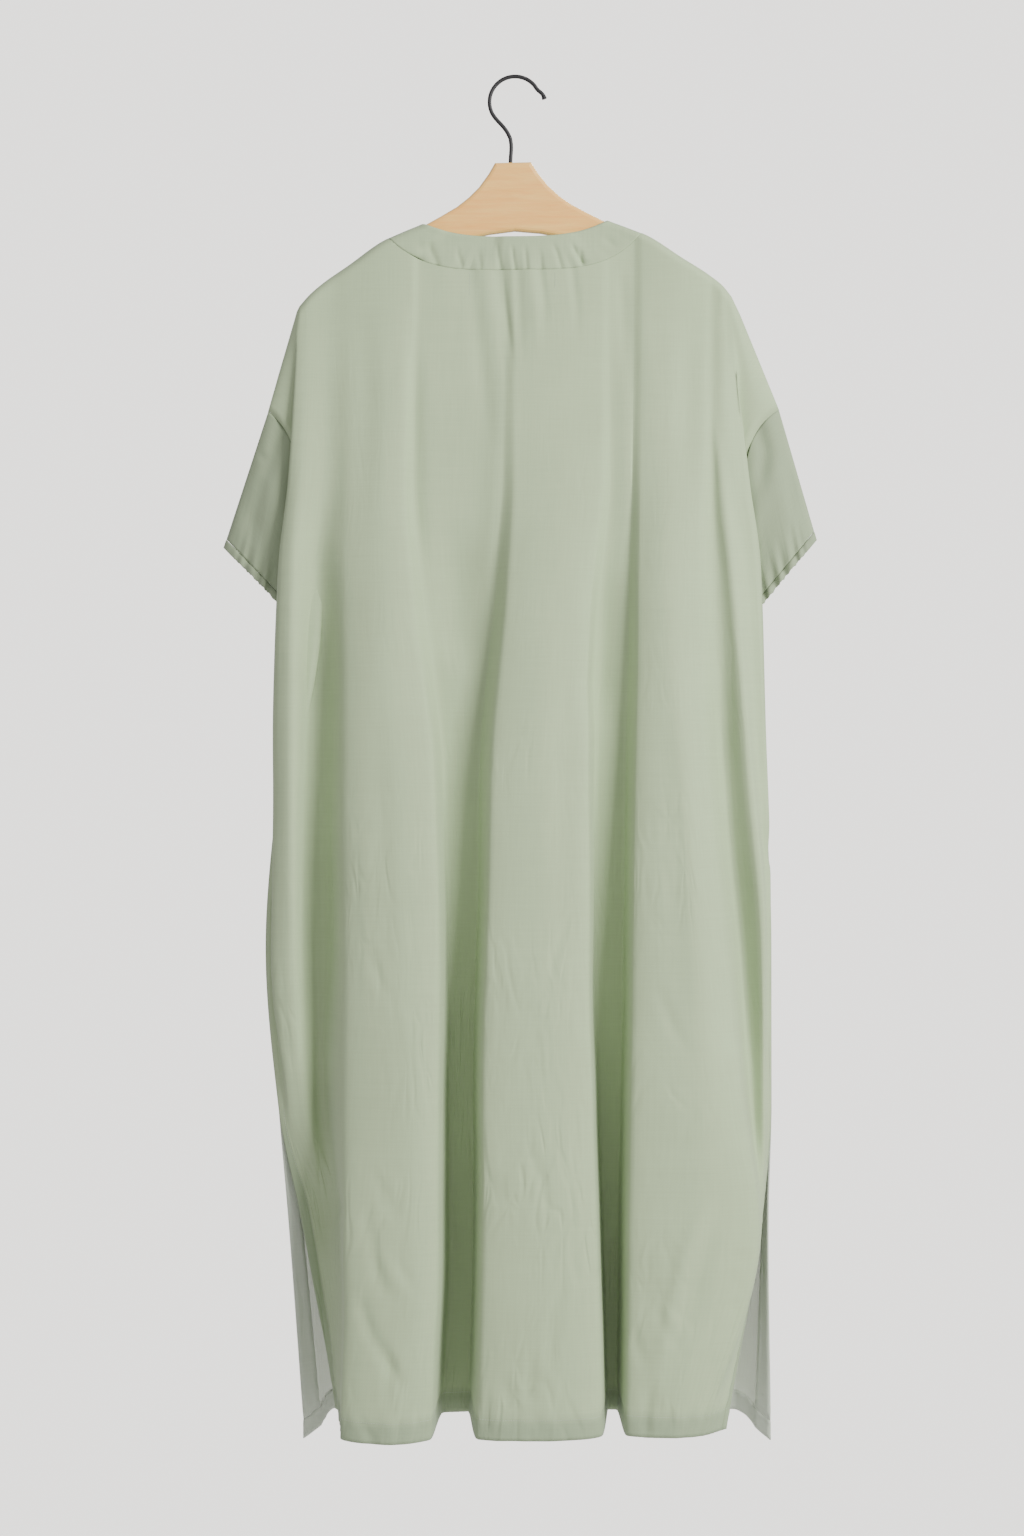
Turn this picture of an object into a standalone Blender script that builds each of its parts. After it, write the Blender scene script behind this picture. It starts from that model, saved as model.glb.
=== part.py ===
# A loose pull-on dress hanging on a flat wooden hanger, seen from its back.
# Metres. +Z is up, +X is to the right of someone who faces the garment's back, and +Y runs
# away from them, so the back of the dress is on the -Y side and its front on the +Y side.
# The origin is where a rod or peg carries the hook: the highest point of its inside.

import math

import bmesh
import bpy
import numpy as np
from mathutils import Matrix, Vector

MM = 0.001

# Cloth and seams
CLOTH = 1.0 * MM
SEAM_GAP = 0.3 * MM
RIDGE_GAP = 1.2 * MM
ARMHOLE_GAP = 1.0 * MM
BAND_END_GAP = 1.0 * MM
LAYER_STEP = 1.5 * MM
HEM_DEPTH = 20 * MM
SLIT_FACING = 22 * MM
BAND_CLOTH = 1.4 * MM
BAND_SEAM_HALF_WIDTH = 127 * MM
NECK_EDGE_HALF_WIDTH = 93 * MM
CUFF_DEPTH = 9 * MM
CUFF_CLOTH = 1.6 * MM

# Drops below the hook's rest point
BACK_NECK_EDGE_DROP = 160 * MM
BACK_BAND_SEAM_DROP = 193 * MM
FRONT_NECK_EDGE_DROP = 236 * MM
FRONT_BAND_SEAM_DROP = 268 * MM
SLIT_DROP = 1030 * MM
UNDERARM_DROP = 491 * MM
SLEEVE_SEAM_TOP_DROP = 333 * MM

# Hanger and hook
WOOD_THICKNESS = 12 * MM
WOOD_EDGE_ROUNDING = 4 * MM
WOOD_CENTRE_X = -2 * MM
WOOD_TILT_DEG = 1.3
WOOD_TO_CLOTH = 2.2 * MM
ARM_DEPTH = 30 * MM
ARM_UNDERSIDE_RISE_DROP = 153 * MM
CREST_ROUNDING = 8 * MM
TOP_LINE_ROUNDING = 5 * MM
WIRE_RADIUS = 2 * MM
HOOK_RADIUS = 25.5 * MM
STEM_X = -4.5 * MM

GREEN = (0.50, 0.56, 0.45)
WOOD = (0.72, 0.50, 0.29)
BLACK = (0.02, 0.02, 0.02)

# Half of the wood's top edge: how far out from its middle, and how far below the hook.
WOOD_TOP = [
    {"out": 0, "drop": 84.5},
    {"out": 18, "drop": 84.5},
    {"out": 25, "drop": 96},
    {"out": 34.5, "drop": 108.5},
    {"out": 45, "drop": 118.5},
    {"out": 57, "drop": 127.5},
    {"out": 74, "drop": 137},
    {"out": 92, "drop": 146.5},
    {"out": 111, "drop": 153.5},
    {"out": 131, "drop": 162},
    {"out": 167, "drop": 186},
    {"out": 192, "drop": 202.5},
    {"out": 206, "drop": 214},
]

# The heights, as drops in mm, at which the fold tables give each fold its place.
STATIONS = {
    "shoulder": 242,
    "armhole": 402,
    "underarm": 491,
    "waist": 702,
    "hip": 870,
    "slit": 1030,
    "knee": 1140,
    "hem": 1350,
}

# One row for each fold line of the back panel, from its left seam to its right seam.
# cut is where the line lies on the flat cloth. across and depth give its place to the right
# of the hook and behind it, in mm, at each of the heights above. A foot is where the side of
# a pipe fold reaches the bottom of the valley next to it.
BACK_FOLDS = [
    {"fold": "left seam", "cut": -322,
     "across": (-215, -215, -208, -237, -250, -237, -216, -180), "depth": (-4, -2, 7.35, 7.35, 7.35, 7.35, 20, 42)},
    {"fold": "left inner turn", "cut": -303,
     "across": (-203, -203, -193, -217, -233, -232, -207, -179), "depth": (-6.5, -7, -2, 0, 1, 4.5, 22, 35)},
    {"fold": "left fold edge", "cut": -262,
     "across": (-216, -226, -235, -241, -244, -224, -198, -177), "depth": (-9, -14, -14, -13, -10, 0, 22, 22)},
    {"fold": "left roll", "cut": -243,
     "across": (-207, -214, -221, -222, -222, -211, -190, -176), "depth": (-10, -19, -24, -27, -20, -1, 18, 8)},
    {"fold": "left valley", "cut": -216,
     "across": (-185, -188, -198, -200, -197, -194, -180, -174), "depth": (-9, -13, -9, -2, 5, 11, 6, -8)},
    {"fold": "pipe 1 left edge", "cut": -182,
     "across": (-163, -162, -166, -165, -165, -167, -170, -172), "depth": (-11, -20, -25, -32, -38, -42, -44, -42)},
    {"fold": "pipe 1", "cut": -139,
     "across": (-128, -129, -128, -119, -113, -105, -105, -121), "depth": (-14, -25, -32, -42, -50, -56, -58, -58)},
    {"fold": "pipe 1 right edge", "cut": -109,
     "across": (-104, -110, -106, -82, -77, -77, -77, -84), "depth": (-13, -23, -29, -37, -44, -48, -50, -48)},
    {"fold": "valley 1 left foot", "cut": -92,
     "across": (-94, -97, -90, -70, -66, -66, -66, -73), "depth": (-10, -16, -15, -5, 3, 11, 17, 23)},
    {"fold": "valley 1 right foot", "cut": -30,
     "across": (-12, -14, -20, -36, -39, -42, -42, -48), "depth": (-9, -14, -12, -3, 4, 11, 17, 23)},
    {"fold": "pipe 2 left edge", "cut": -14,
     "across": (1, 1, -4, -22, -27, -31, -31, -37), "depth": (-12, -23, -29, -39, -46, -52, -54, -52)},
    {"fold": "pipe 2", "cut": 34,
     "across": (45, 43, 36, 29, 30, 29, 29, 24), "depth": (-13, -26, -34, -45, -53, -59, -62, -62)},
    {"fold": "pipe 2 right edge", "cut": 74,
     "across": (85, 84, 77, 71, 72, 76, 80, 86), "depth": (-12, -22, -28, -38, -45, -50, -51, -48)},
    {"fold": "valley 2 left foot", "cut": 90,
     "across": (96, 96, 89, 81, 81, 85, 89, 94), "depth": (-10, -15, -13, -4, 4, 12, 18, 23)},
    {"fold": "valley 2 right foot", "cut": 123,
     "across": (117, 116, 113, 109, 108, 106, 104, 103), "depth": (-9, -14, -12, -3, 4, 12, 18, 23)},
    {"fold": "pipe 3 left edge", "cut": 139,
     "across": (128, 126, 124, 119.5, 117.5, 115.5, 113.5, 111.5), "depth": (-12, -22, -27, -34, -41, -46, -48, -46)},
    {"fold": "pipe 3", "cut": 173,
     "across": (159, 156, 151, 161, 172, 180, 177, 154), "depth": (-14, -27, -34, -43, -50, -54, -55, -52)},
    {"fold": "pipe 3 right edge", "cut": 204,
     "across": (187, 184, 181, 189, 205, 224, 240, 182), "depth": (-12, -24, -28, -32, -36, -39, -38, -47)},
    {"fold": "right valley", "cut": 226,
     "across": (197, 196, 200, 211, 227, 237, 244, 188), "depth": (-10, -18, -18, -9, 0, -4, -26, -44)},
    {"fold": "right roll", "cut": 246,
     "across": (206, 206, 216, 233, 247, 248, 246, 193), "depth": (-11, -21, -25, -25, -19, -10, -15, -41)},
    {"fold": "right inner valley", "cut": 265,
     "across": (212, 217, 230, 243, 251, 252, 247, 197), "depth": (-10, -18, -11, -8, -6, -2, -5, -38)},
    {"fold": "right fold edge", "cut": 280,
     "across": (217, 236, 247, 253, 256, 254, 247.5, 201), "depth": (-9.5, -13, -7, -4, -1, 2, 3, -35)},
    {"fold": "right inner turn", "cut": 311,
     "across": (221, 217, 209, 237, 250, 255.5, 248, 205), "depth": (-6.5, -5.5, 0, 2, 4, 5, 9, -32)},
    {"fold": "right seam", "cut": 326,
     "across": (227, 227, 223, 250, 257, 257, 248, 208), "depth": (-4, -2, 7.35, 7.35, 7.35, 7.35, 12, -29)},
]

# The same for the front panel, which hangs behind the back one in this view.
FRONT_FOLDS = [
    {"fold": "left seam", "cut": -322,
     "across": (-222, -215, -208, -237, -250, -237, -229, -215), "depth": (10, 12, 8.65, 8.65, 8.65, 8.65, 26, 46)},
    {"fold": "left inner turn", "cut": -303,
     "across": (-218, -207, -195, -219, -234, -228, -218, -200), "depth": (13, 17, 17, 17, 15, 15, 34, 58)},
    {"fold": "left fold edge", "cut": -262,
     "across": (-214, -222, -233, -238, -240, -224, -208, -190), "depth": (17, 25, 28, 28, 25, 24, 44, 68)},
    {"fold": "left pipe", "cut": -215,
     "across": (-185, -190, -195, -198, -198, -196, -185, -172), "depth": (20, 33, 38, 44, 50, 58, 68, 80)},
    {"fold": "left valley", "cut": -150,
     "across": (-128, -128, -130, -130, -130, -128, -126, -124), "depth": (9, 25, 26, 27, 30, 36, 42, 50)},
    {"fold": "middle left pipe", "cut": -60,
     "across": (-50, -50, -52, -54, -54, -56, -56, -58), "depth": (12, 34, 42, 52, 62, 74, 84, 94)},
    {"fold": "middle valley", "cut": 30,
     "across": (25, 25, 27, 28, 28, 28, 28, 27), "depth": (9, 25, 27, 30, 34, 40, 44, 50)},
    {"fold": "middle right pipe", "cut": 110,
     "across": (100, 100, 100, 98, 98, 98, 98, 100), "depth": (12, 34, 43, 54, 66, 78, 88, 98)},
    {"fold": "right valley", "cut": 190,
     "across": (170, 172, 172, 174, 176, 176, 174, 170), "depth": (9, 25, 27, 30, 36, 44, 50, 58)},
    {"fold": "right pipe", "cut": 240,
     "across": (205, 212, 220, 226, 228, 228, 224, 216), "depth": (20, 32, 34, 38, 44, 52, 60, 70)},
    {"fold": "right fold edge", "cut": 280,
     "across": (217, 233, 243, 248, 250, 250, 244, 236), "depth": (17, 25, 27, 27, 24, 22, 36, 58)},
    {"fold": "right inner turn", "cut": 311,
     "across": (222, 219, 211, 238, 250, 254, 252, 248), "depth": (13, 17, 17, 17, 15, 14, 26, 48)},
    {"fold": "right seam", "cut": 326,
     "across": (227, 227, 223, 250, 257, 257, 255, 259), "depth": (10, 12, 8.65, 8.65, 8.65, 8.65, 18, 38)},
]

# Each sleeve hangs from the end of the shoulder line. All places are (across, drop) in mm:
# where the shoulder line ends, where the sleeve is sewn on, and the two ends of its cuff,
# with how far behind the hook each of those ends hangs.
SLEEVES = {
    "left": {"side": -1, "tip_cut": -262, "tip": (-217, 230), "seam_top": (-247, 333),
             "cuff_top": (-293, 468), "cuff_bottom": (-218, 545), "cuff_depths": (20, 7)},
    "right": {"side": 1, "tip_cut": 280, "tip": (219, 222), "seam_top": (264, 331),
              "cuff_top": (301, 462), "cuff_bottom": (236, 541), "cuff_depths": (-3, 13)},
}
SLEEVE_TOP_DEPTH = 3 * MM
CUFF_HALF_THICKNESS = 10 * MM
CUFF_GATHERS = 20
CUFF_GATHER_HEIGHT = 1.3 * MM
BAND_GATHERS = 9
BAND_GATHER_HEIGHT = 0.8 * MM
BAND_GATHER_HALF_WIDTH = 68 * MM
BAND_END_COLUMNS = (105, 111, 116, 120, 123, 124.8, 125.8)
PANEL_END_COLUMNS = (120, 123, 125, 126.2, 127)

# Rows of the cloth, as shares of the way down to the slits and from there to the hem.
UNDERARM_SHARE = (UNDERARM_DROP - SLEEVE_SEAM_TOP_DROP) / (SLIT_DROP - SLEEVE_SEAM_TOP_DROP)
SHOULDER_ROWS = (0.0, 0.002, 0.007, 0.0145, 0.03, 0.06, 0.10, 0.145, 0.19)
BODY_ROWS = tuple(np.linspace(UNDERARM_SHARE, 1.0, 11))
SKIRT_ROWS = (0.13, 0.28, 0.5, 0.75)


def smooth_through(knots, values, at):
    """A curve through the values that never overshoots them and is level at each turning point."""
    knots = np.asarray(knots, float)
    values = np.asarray(values, float)
    step = np.diff(knots)
    rise = np.diff(values) / step
    slope = np.zeros(len(knots))
    slope[0], slope[-1] = rise[0], rise[-1]
    for i in range(1, len(knots) - 1):
        if rise[i - 1] * rise[i] > 0:
            near = 2 * step[i] + step[i - 1]
            far = step[i] + 2 * step[i - 1]
            slope[i] = (near + far) / (near / rise[i - 1] + far / rise[i])
    at = np.clip(at, knots[0], knots[-1])
    k = np.clip(np.searchsorted(knots, at, side="right") - 1, 0, len(step) - 1)
    t = (at - knots[k]) / step[k]
    return (
        values[k] * (1 + 2 * t) * (1 - t) ** 2
        + slope[k] * step[k] * t * (1 - t) ** 2
        + values[k + 1] * t * t * (3 - 2 * t)
        - slope[k + 1] * step[k] * t * t * (1 - t)
    )


def wood_turn():
    """The small tilt of the hanger about the middle of its neck."""
    middle = Matrix.Translation((WOOD_CENTRE_X, 0, -WOOD_TOP[0]["drop"] * MM))
    return middle @ Matrix.Rotation(math.radians(-WOOD_TILT_DEG), 4, "Y") @ middle.inverted()


def wood_top_points():
    """The wood's whole top edge from its left end to its right end, tilted as it hangs."""
    half = [(row["out"] * MM, -row["drop"] * MM) for row in WOOD_TOP]
    whole = [(-out, z) for out, z in reversed(half[1:])] + half
    turn = wood_turn()
    return [turn @ Vector((WOOD_CENTRE_X + out, 0, z)) for out, z in whole]


def crest_drop(across):
    """How far below the hook the cloth's shoulder line runs, over the wood and past its ends."""
    points = wood_top_points()
    xs = [p.x for p in points]
    drops = [-p.z - WOOD_TO_CLOTH for p in points]
    left, right = SLEEVES["left"]["tip"], SLEEVES["right"]["tip"]
    xs = [left[0] * MM] + xs + [right[0] * MM]
    drops = [left[1] * MM] + drops + [right[1] * MM]
    return smooth_through(xs, drops, across)


class Panel:
    """One body panel. Its cloth is addressed by cut, across the flat panel, and by drop."""

    def __init__(self, folds, facing, neck_drop):
        self.facing = facing
        self.neck_drop = neck_drop
        self.cuts = np.array([row["cut"] for row in folds]) * MM
        self.heights = np.array(list(STATIONS.values())) * MM
        self.across = np.array([row["across"] for row in folds]) * MM
        self.depth = np.array([row["depth"] for row in folds]) * MM

    def section(self, cuts, drop):
        """Across and depth of these threads where the whole panel is cut level at this drop."""
        xs = [smooth_through(self.heights, track, drop) for track in self.across]
        ys = [smooth_through(self.heights, track, drop) for track in self.depth]
        return smooth_through(self.cuts, xs, cuts), smooth_through(self.cuts, ys, cuts)

    def neck_seam_drop(self, across):
        """The curve that the neck band is sewn along."""
        share = np.clip(abs(across) / BAND_SEAM_HALF_WIDTH, 0, 1)
        side = BAND_SEAM_HALF_WIDTH * (1 if across > 0 else -1)
        return self.neck_drop + (crest_drop(side) - self.neck_drop) * share**4

    def top(self, cut):
        """Where a thread starts: (across, depth, drop), rounding radius and the top edge's slope."""
        sleeve = SLEEVES["left" if cut < 0 else "right"]
        beyond = abs(cut) - abs(sleeve["tip_cut"]) * MM
        if beyond <= 0:
            across = float(self.section(np.array([cut]), self.heights[0])[0][0])
            drop = float(crest_drop(across))
            slope = (float(crest_drop(across + MM)) - float(crest_drop(across - MM))) / (2 * MM)
            if abs(across) < BAND_SEAM_HALF_WIDTH:
                drop = max(drop, float(self.neck_seam_drop(across)) + SEAM_GAP)
            return across, self.facing * RIDGE_GAP / 2, drop, CREST_ROUNDING, slope
        end_cut = self.cuts[0] if cut < 0 else self.cuts[-1]
        share = beyond / (abs(end_cut) - abs(sleeve["tip_cut"]) * MM)
        tip, end = np.array(sleeve["tip"]) * MM, np.array(sleeve["seam_top"]) * MM
        across, drop = tip + (end - tip) * share
        slope = (end[1] - tip[1]) / abs(end[0] - tip[0])
        rounding = CREST_ROUNDING + (TOP_LINE_ROUNDING - CREST_ROUNDING) * share
        return across, SLEEVE_TOP_DEPTH * share + self.facing * RIDGE_GAP / 2, drop, rounding, slope

    def hem_drop(self, cut):
        """The hem hangs lower on the pipes that stand towards the viewer, and at the front's corners."""
        across, depth = self.section(np.array([cut]), self.heights[-1])
        if self.facing < 0:
            left_dip = 5 * MM * np.clip(-across[0] / (120 * MM), 0, 1)
            return 1339.5 * MM - 0.16 * depth[0] + left_dip
        edge = min(abs(cut - self.cuts[0]), abs(cut - self.cuts[-1]))
        return 1345 * MM + 25 * MM * max(0.0, 1 - edge / (70 * MM)) ** 1.5

    def point(self, cut, drop):
        """The middle of the cloth where this thread passes this drop."""
        top_x, top_y, top_drop, rounding, slope = self.top(cut)
        below = max(drop - top_drop, 0.0)
        x, y = (float(v[0]) for v in self.section(np.array([cut]), drop))
        start_x = float(self.section(np.array([cut]), top_drop)[0][0])
        x += (top_x - start_x) * math.exp(-below / (24 * MM))
        crest = top_drop
        if abs(cut) < 0.2 or abs(top_x) < BAND_SEAM_HALF_WIDTH:
            crest = min(float(crest_drop(top_x)), top_drop)
        from_line = (drop - crest) / math.sqrt(1 + slope * slope)
        share = min(from_line / rounding, 1.0)
        bend = math.sqrt(max(0.0, 1 - (1 - share) ** 2))
        return Vector((x, top_y + (y - top_y) * bend, -drop))

    def rows(self, cut):
        """The drops of the cloth's rows along one thread."""
        top, hem = self.top(cut)[2], self.hem_drop(cut)
        body = [top + (SLIT_DROP - top) * share for share in SHOULDER_ROWS + BODY_ROWS]
        skirt = [SLIT_DROP + (hem - HEM_DEPTH - SLIT_DROP) * share for share in SKIRT_ROWS]
        return body + skirt + [hem - HEM_DEPTH, hem]

    def columns(self, wide):
        """Threads that become the cloth's columns: every fold line, and one or two between them."""
        found = []
        for a, b in zip(self.cuts[:-1], self.cuts[1:]):
            pieces = 2 if b - a < wide else 3
            found += list(np.linspace(a, b, pieces, endpoint=False))
        facings = [self.cuts[0] + SLIT_FACING, self.cuts[-1] - SLIT_FACING]
        threads = np.linspace(self.cuts[0] / 2, self.cuts[-1] / 2, 800)
        ends = [e * MM for e in PANEL_END_COLUMNS] + [BAND_SEAM_HALF_WIDTH + BAND_END_GAP]
        ends = sorted([-e for e in ends] + ends)
        extra = facings + list(np.interp(ends, self.section(threads, self.heights[0])[0], threads))
        found = [c for c in found if min(abs(c - e) for e in extra) > 3 * MM]
        return sorted(found + extra + [self.cuts[-1]])


def new_grid(points):
    """A flat grid, one corner for each of the points, laid onto them."""
    rows, columns = len(points), len(points[0])
    bm = bmesh.new()
    bmesh.ops.create_grid(bm, x_segments=columns - 1, y_segments=rows - 1, size=1)
    place = {}
    for vertex in bm.verts:
        i = round((vertex.co.x + 1) / 2 * (columns - 1))
        j = round((vertex.co.y + 1) / 2 * (rows - 1))
        vertex.co = points[j][i]
        place[j, i] = vertex
    return bm, place


def normals_of(points):
    """The cloth's normal at each point of a grid, always on its +Y side where it hangs flat."""
    bm, place = new_grid(points)
    bm.normal_update()
    found = [[place[j, i].normal.copy() for i in range(len(points[0]))] for j in range(len(points))]
    bm.free()
    sign = 1 if sum(n.y for row in found for n in row) > 0 else -1
    return [[n * sign for n in row] for row in found]


def material(name, colour, roughness, metallic=0.0):
    made = bpy.data.materials.new(name)
    made.use_nodes = True
    shader = made.node_tree.nodes["Principled BSDF"]
    shader.inputs["Base Color"].default_value = (*colour, 1)
    shader.inputs["Roughness"].default_value = roughness
    shader.inputs["Metallic"].default_value = metallic
    return made


def add_object(name, data, finish):
    obj = bpy.data.objects.new(name, data)
    bpy.context.scene.collection.objects.link(obj)
    data.materials.append(finish)
    return obj


def cloth_piece(name, points, thickness=CLOTH, closed=False):
    """A flat grid laid onto the points, then given the thickness of the cloth."""
    bm = new_grid(points)[0]
    if closed:
        bmesh.ops.remove_doubles(bm, verts=bm.verts, dist=1e-6)
    mesh = bpy.data.meshes.new(name)
    bm.to_mesh(mesh)
    bm.free()
    obj = add_object(name, mesh, material(name + " cloth", GREEN, 0.8))
    solid = obj.modifiers.new("Cloth thickness", "SOLIDIFY")
    solid.thickness = thickness
    solid.offset = 0
    mesh.shade_smooth()
    return obj


def panel_grid(panel, wide):
    """Rows of points for a whole panel, and the threads that its columns follow."""
    columns = panel.columns(wide)
    drops = [panel.rows(cut) for cut in columns]
    grid = [
        [panel.point(cut, drops[i][j]) for i, cut in enumerate(columns)]
        for j in range(len(drops[0]))
    ]
    return grid, columns


def inside_strip(name, panel, grid, rows, columns, shift=0.0):
    """A turned edge: part of the panel's own points, moved to the inside of the cloth."""
    normal = normals_of(grid)
    points = [
        [grid[j][i] - normal[j][i] * panel.facing * LAYER_STEP for i in columns] for j in rows
    ]
    for place in points[-1]:
        place.z += shift
    return cloth_piece(name, points)


def band_grid(panel, grid, columns, edge_drop, gathered):
    """The neck band: its lower edge follows the panel's own top edge, its upper one the neck."""
    steps = BAND_GATHERS * 4 if gathered else 14
    middle = list(np.linspace(-BAND_GATHER_HALF_WIDTH, BAND_GATHER_HALF_WIDTH, steps + 1))
    fill = [82 * MM, 94 * MM] + [e * MM for e in BAND_END_COLUMNS]
    seam_places = [-e for e in reversed(fill)] + middle + fill
    top = [p for p in grid[0] if abs(p.x) < BAND_SEAM_HALF_WIDTH + 2 * BAND_END_GAP]
    xs, ys, zs = (np.array([p[k] for p in top]) for k in range(3))
    steepness = np.gradient(zs, xs)
    points = []
    for b in (0.0, 0.35, 0.7, 1.0):
        line = []
        for seam_x in seam_places:
            a = seam_x / BAND_SEAM_HALF_WIDTH
            edge_x = a * NECK_EDGE_HALF_WIDTH
            apart = 1.5 * SEAM_GAP * math.sqrt(1 + float(np.interp(seam_x, xs, steepness)) ** 2)
            seam_drop = -float(np.interp(seam_x, xs, zs)) - apart
            side = NECK_EDGE_HALF_WIDTH * (1 if a > 0 else -1)
            neck_drop = edge_drop + (float(crest_drop(side)) - edge_drop) * abs(a) ** (3 if gathered else 2.4)
            x = seam_x + (edge_x - seam_x) * b
            crest = float(crest_drop(x))
            drop = max(seam_drop + (neck_drop - seam_drop) * b, crest)
            slope = (float(crest_drop(x + MM)) - float(crest_drop(x - MM))) / (2 * MM)
            share = min((drop - crest) / math.sqrt(1 + slope * slope) / CREST_ROUNDING, 1.0)
            bend = math.sqrt(max(0.0, 1 - (1 - share) ** 2))
            ridge = panel.facing * RIDGE_GAP / 2
            depth = float(panel.section(np.array([seam_x * 1.05]), panel.heights[0])[1][0])
            y = ridge + (depth - ridge) * bend
            y += (float(np.interp(seam_x, xs, ys)) - y) * (1 - b) ** 2
            if gathered:
                fade = max(0.0, 1 - (seam_x / BAND_GATHER_HALF_WIDTH) ** 4)
                wave = math.sin(math.pi * BAND_GATHERS * seam_x / BAND_GATHER_HALF_WIDTH)
                y += panel.facing * BAND_GATHER_HEIGHT * fade * (0.5 + 0.5 * wave) * b * (1.6 - b)
            line.append(Vector((x, y, -drop)))
        points.append(line)
    return points


def armhole_loop(back, back_grid, front, front_grid, side):
    """The edge that a sleeve is sewn to: down the back panel's seam and up the front panel's."""
    end, inner = (0, 1) if side < 0 else (-1, -2)
    last = len(SHOULDER_ROWS)
    loop = []
    for grid, rows in ((back_grid, range(1, last)), (front_grid, range(last - 1, 0, -1))):
        for j in rows:
            loop.append(grid[j][end] + Vector((side * ARMHOLE_GAP, 0, 0)))
        if grid is back_grid:
            meet = (back_grid[last][end] + front_grid[last][end]) / 2
            loop.append(meet + Vector((side * ARMHOLE_GAP, 0, 0)))
    top = (back_grid[0][end] + front_grid[0][end]) / 2
    along = (top - (back_grid[0][inner] + front_grid[0][inner]) / 2).normalized()
    return [top + along * ARMHOLE_GAP] + loop


def cuff_point(sleeve, share, around, half_thickness, beyond):
    """A point of the cuff: share runs from its outer end to its inner end, beyond is along the arm."""
    top, bottom = (Vector((p[0] * MM, 0, -p[1] * MM)) for p in (sleeve["cuff_top"], sleeve["cuff_bottom"]))
    seam = Vector((sleeve["seam_top"][0] * MM, 0, -sleeve["seam_top"][1] * MM))
    arm = (top - seam).normalized()
    place = top + (bottom - top) * share + arm * beyond
    outer, inner = sleeve["cuff_depths"]
    middle = (outer + (inner - outer) * share) * MM
    place.y = middle + around * half_thickness * 2 * math.sqrt(max(0.0, share * (1 - share)))
    return place


def build_sleeve(name, sleeve, loop):
    """A tube from the armhole down to the cuff, a little fuller half way down."""
    count = len(loop)
    half = count // 2
    points = []
    for b in (0.0, 0.12, 0.35, 0.6, 0.82, 1.0):
        line = []
        for k in range(count + 1):
            index = k % count
            share = index / half if index <= half else (count - index) / (count - half)
            around = -1 if index <= half else 1
            start = loop[index]
            end = cuff_point(sleeve, share, around, CUFF_HALF_THICKNESS, -CUFF_DEPTH)
            place = start.lerp(end, b)
            fullness = 3 * MM * math.sin(math.pi * b) * math.sin(math.pi * share)
            place.y += around * fullness
            line.append(place)
        points.append(line)
    return cloth_piece(name, points, closed=True)


def build_cuff(name, sleeve):
    """The elastic casing at the sleeve's end, drawn into gathers that fade at its outer end."""
    steps = CUFF_GATHERS * 4
    points = []
    for row, beyond in enumerate((-CUFF_DEPTH + ARMHOLE_GAP, -CUFF_DEPTH / 2, 0.0)):
        line = []
        for k in range(steps + 1):
            angle = 2 * math.pi * (k % steps) / steps
            share = (1 - math.cos(angle)) / 2
            around = -1 if k % steps <= steps / 2 else 1
            drawn = min(1.0, share / 0.4)
            wave = math.sin(CUFF_GATHERS * angle) * CUFF_GATHER_HEIGHT * drawn * math.sin(angle) ** 2
            scallop = -abs(wave) * (1 if row == 2 else 0)
            place = cuff_point(sleeve, share, around, CUFF_HALF_THICKNESS, beyond + scallop)
            place.y += around * wave
            line.append(place)
        points.append(line)
    return cloth_piece(name, points, CUFF_CLOTH, closed=True)


def build_wood(finish):
    """The flat wooden hanger: its outline drawn upright, given its thickness and rounded edges."""
    half = [(row["out"] * MM, -row["drop"] * MM) for row in WOOD_TOP[1:]]
    end_out, end_z = half[-1]
    under = []
    for share in np.linspace(0, 1, 9)[1:]:
        out = end_out * (1 - share)
        z = -ARM_UNDERSIDE_RISE_DROP + (end_z - ARM_DEPTH * 0.55 + ARM_UNDERSIDE_RISE_DROP) * (1 - share) ** 1.6
        under.append((out, z))
    right = half + [(end_out + 1 * MM, end_z - 6 * MM), (end_out - 4 * MM, end_z - ARM_DEPTH * 0.5)] + under
    outline = right + [(-out, z) for out, z in reversed(right[:-1])]
    bm = bmesh.new()
    corners = [bm.verts.new((WOOD_CENTRE_X + out, -WOOD_THICKNESS / 2, z)) for out, z in outline]
    face = bm.faces.new(corners)
    grown = bmesh.ops.extrude_face_region(bm, geom=[face])
    moved = [g for g in grown["geom"] if isinstance(g, bmesh.types.BMVert)]
    bmesh.ops.translate(bm, verts=moved, vec=(0, WOOD_THICKNESS, 0))
    bmesh.ops.recalc_face_normals(bm, faces=bm.faces)
    mesh = bpy.data.meshes.new("hanger")
    bm.to_mesh(mesh)
    bm.free()
    obj = add_object("hanger", mesh, finish)
    obj.data.transform(wood_turn())
    rounding = obj.modifiers.new("Rounded edges", "BEVEL")
    rounding.width = WOOD_EDGE_ROUNDING
    rounding.segments = 3
    rounding.limit_method = "ANGLE"
    rounding.angle_limit = math.radians(60)
    return obj


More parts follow.
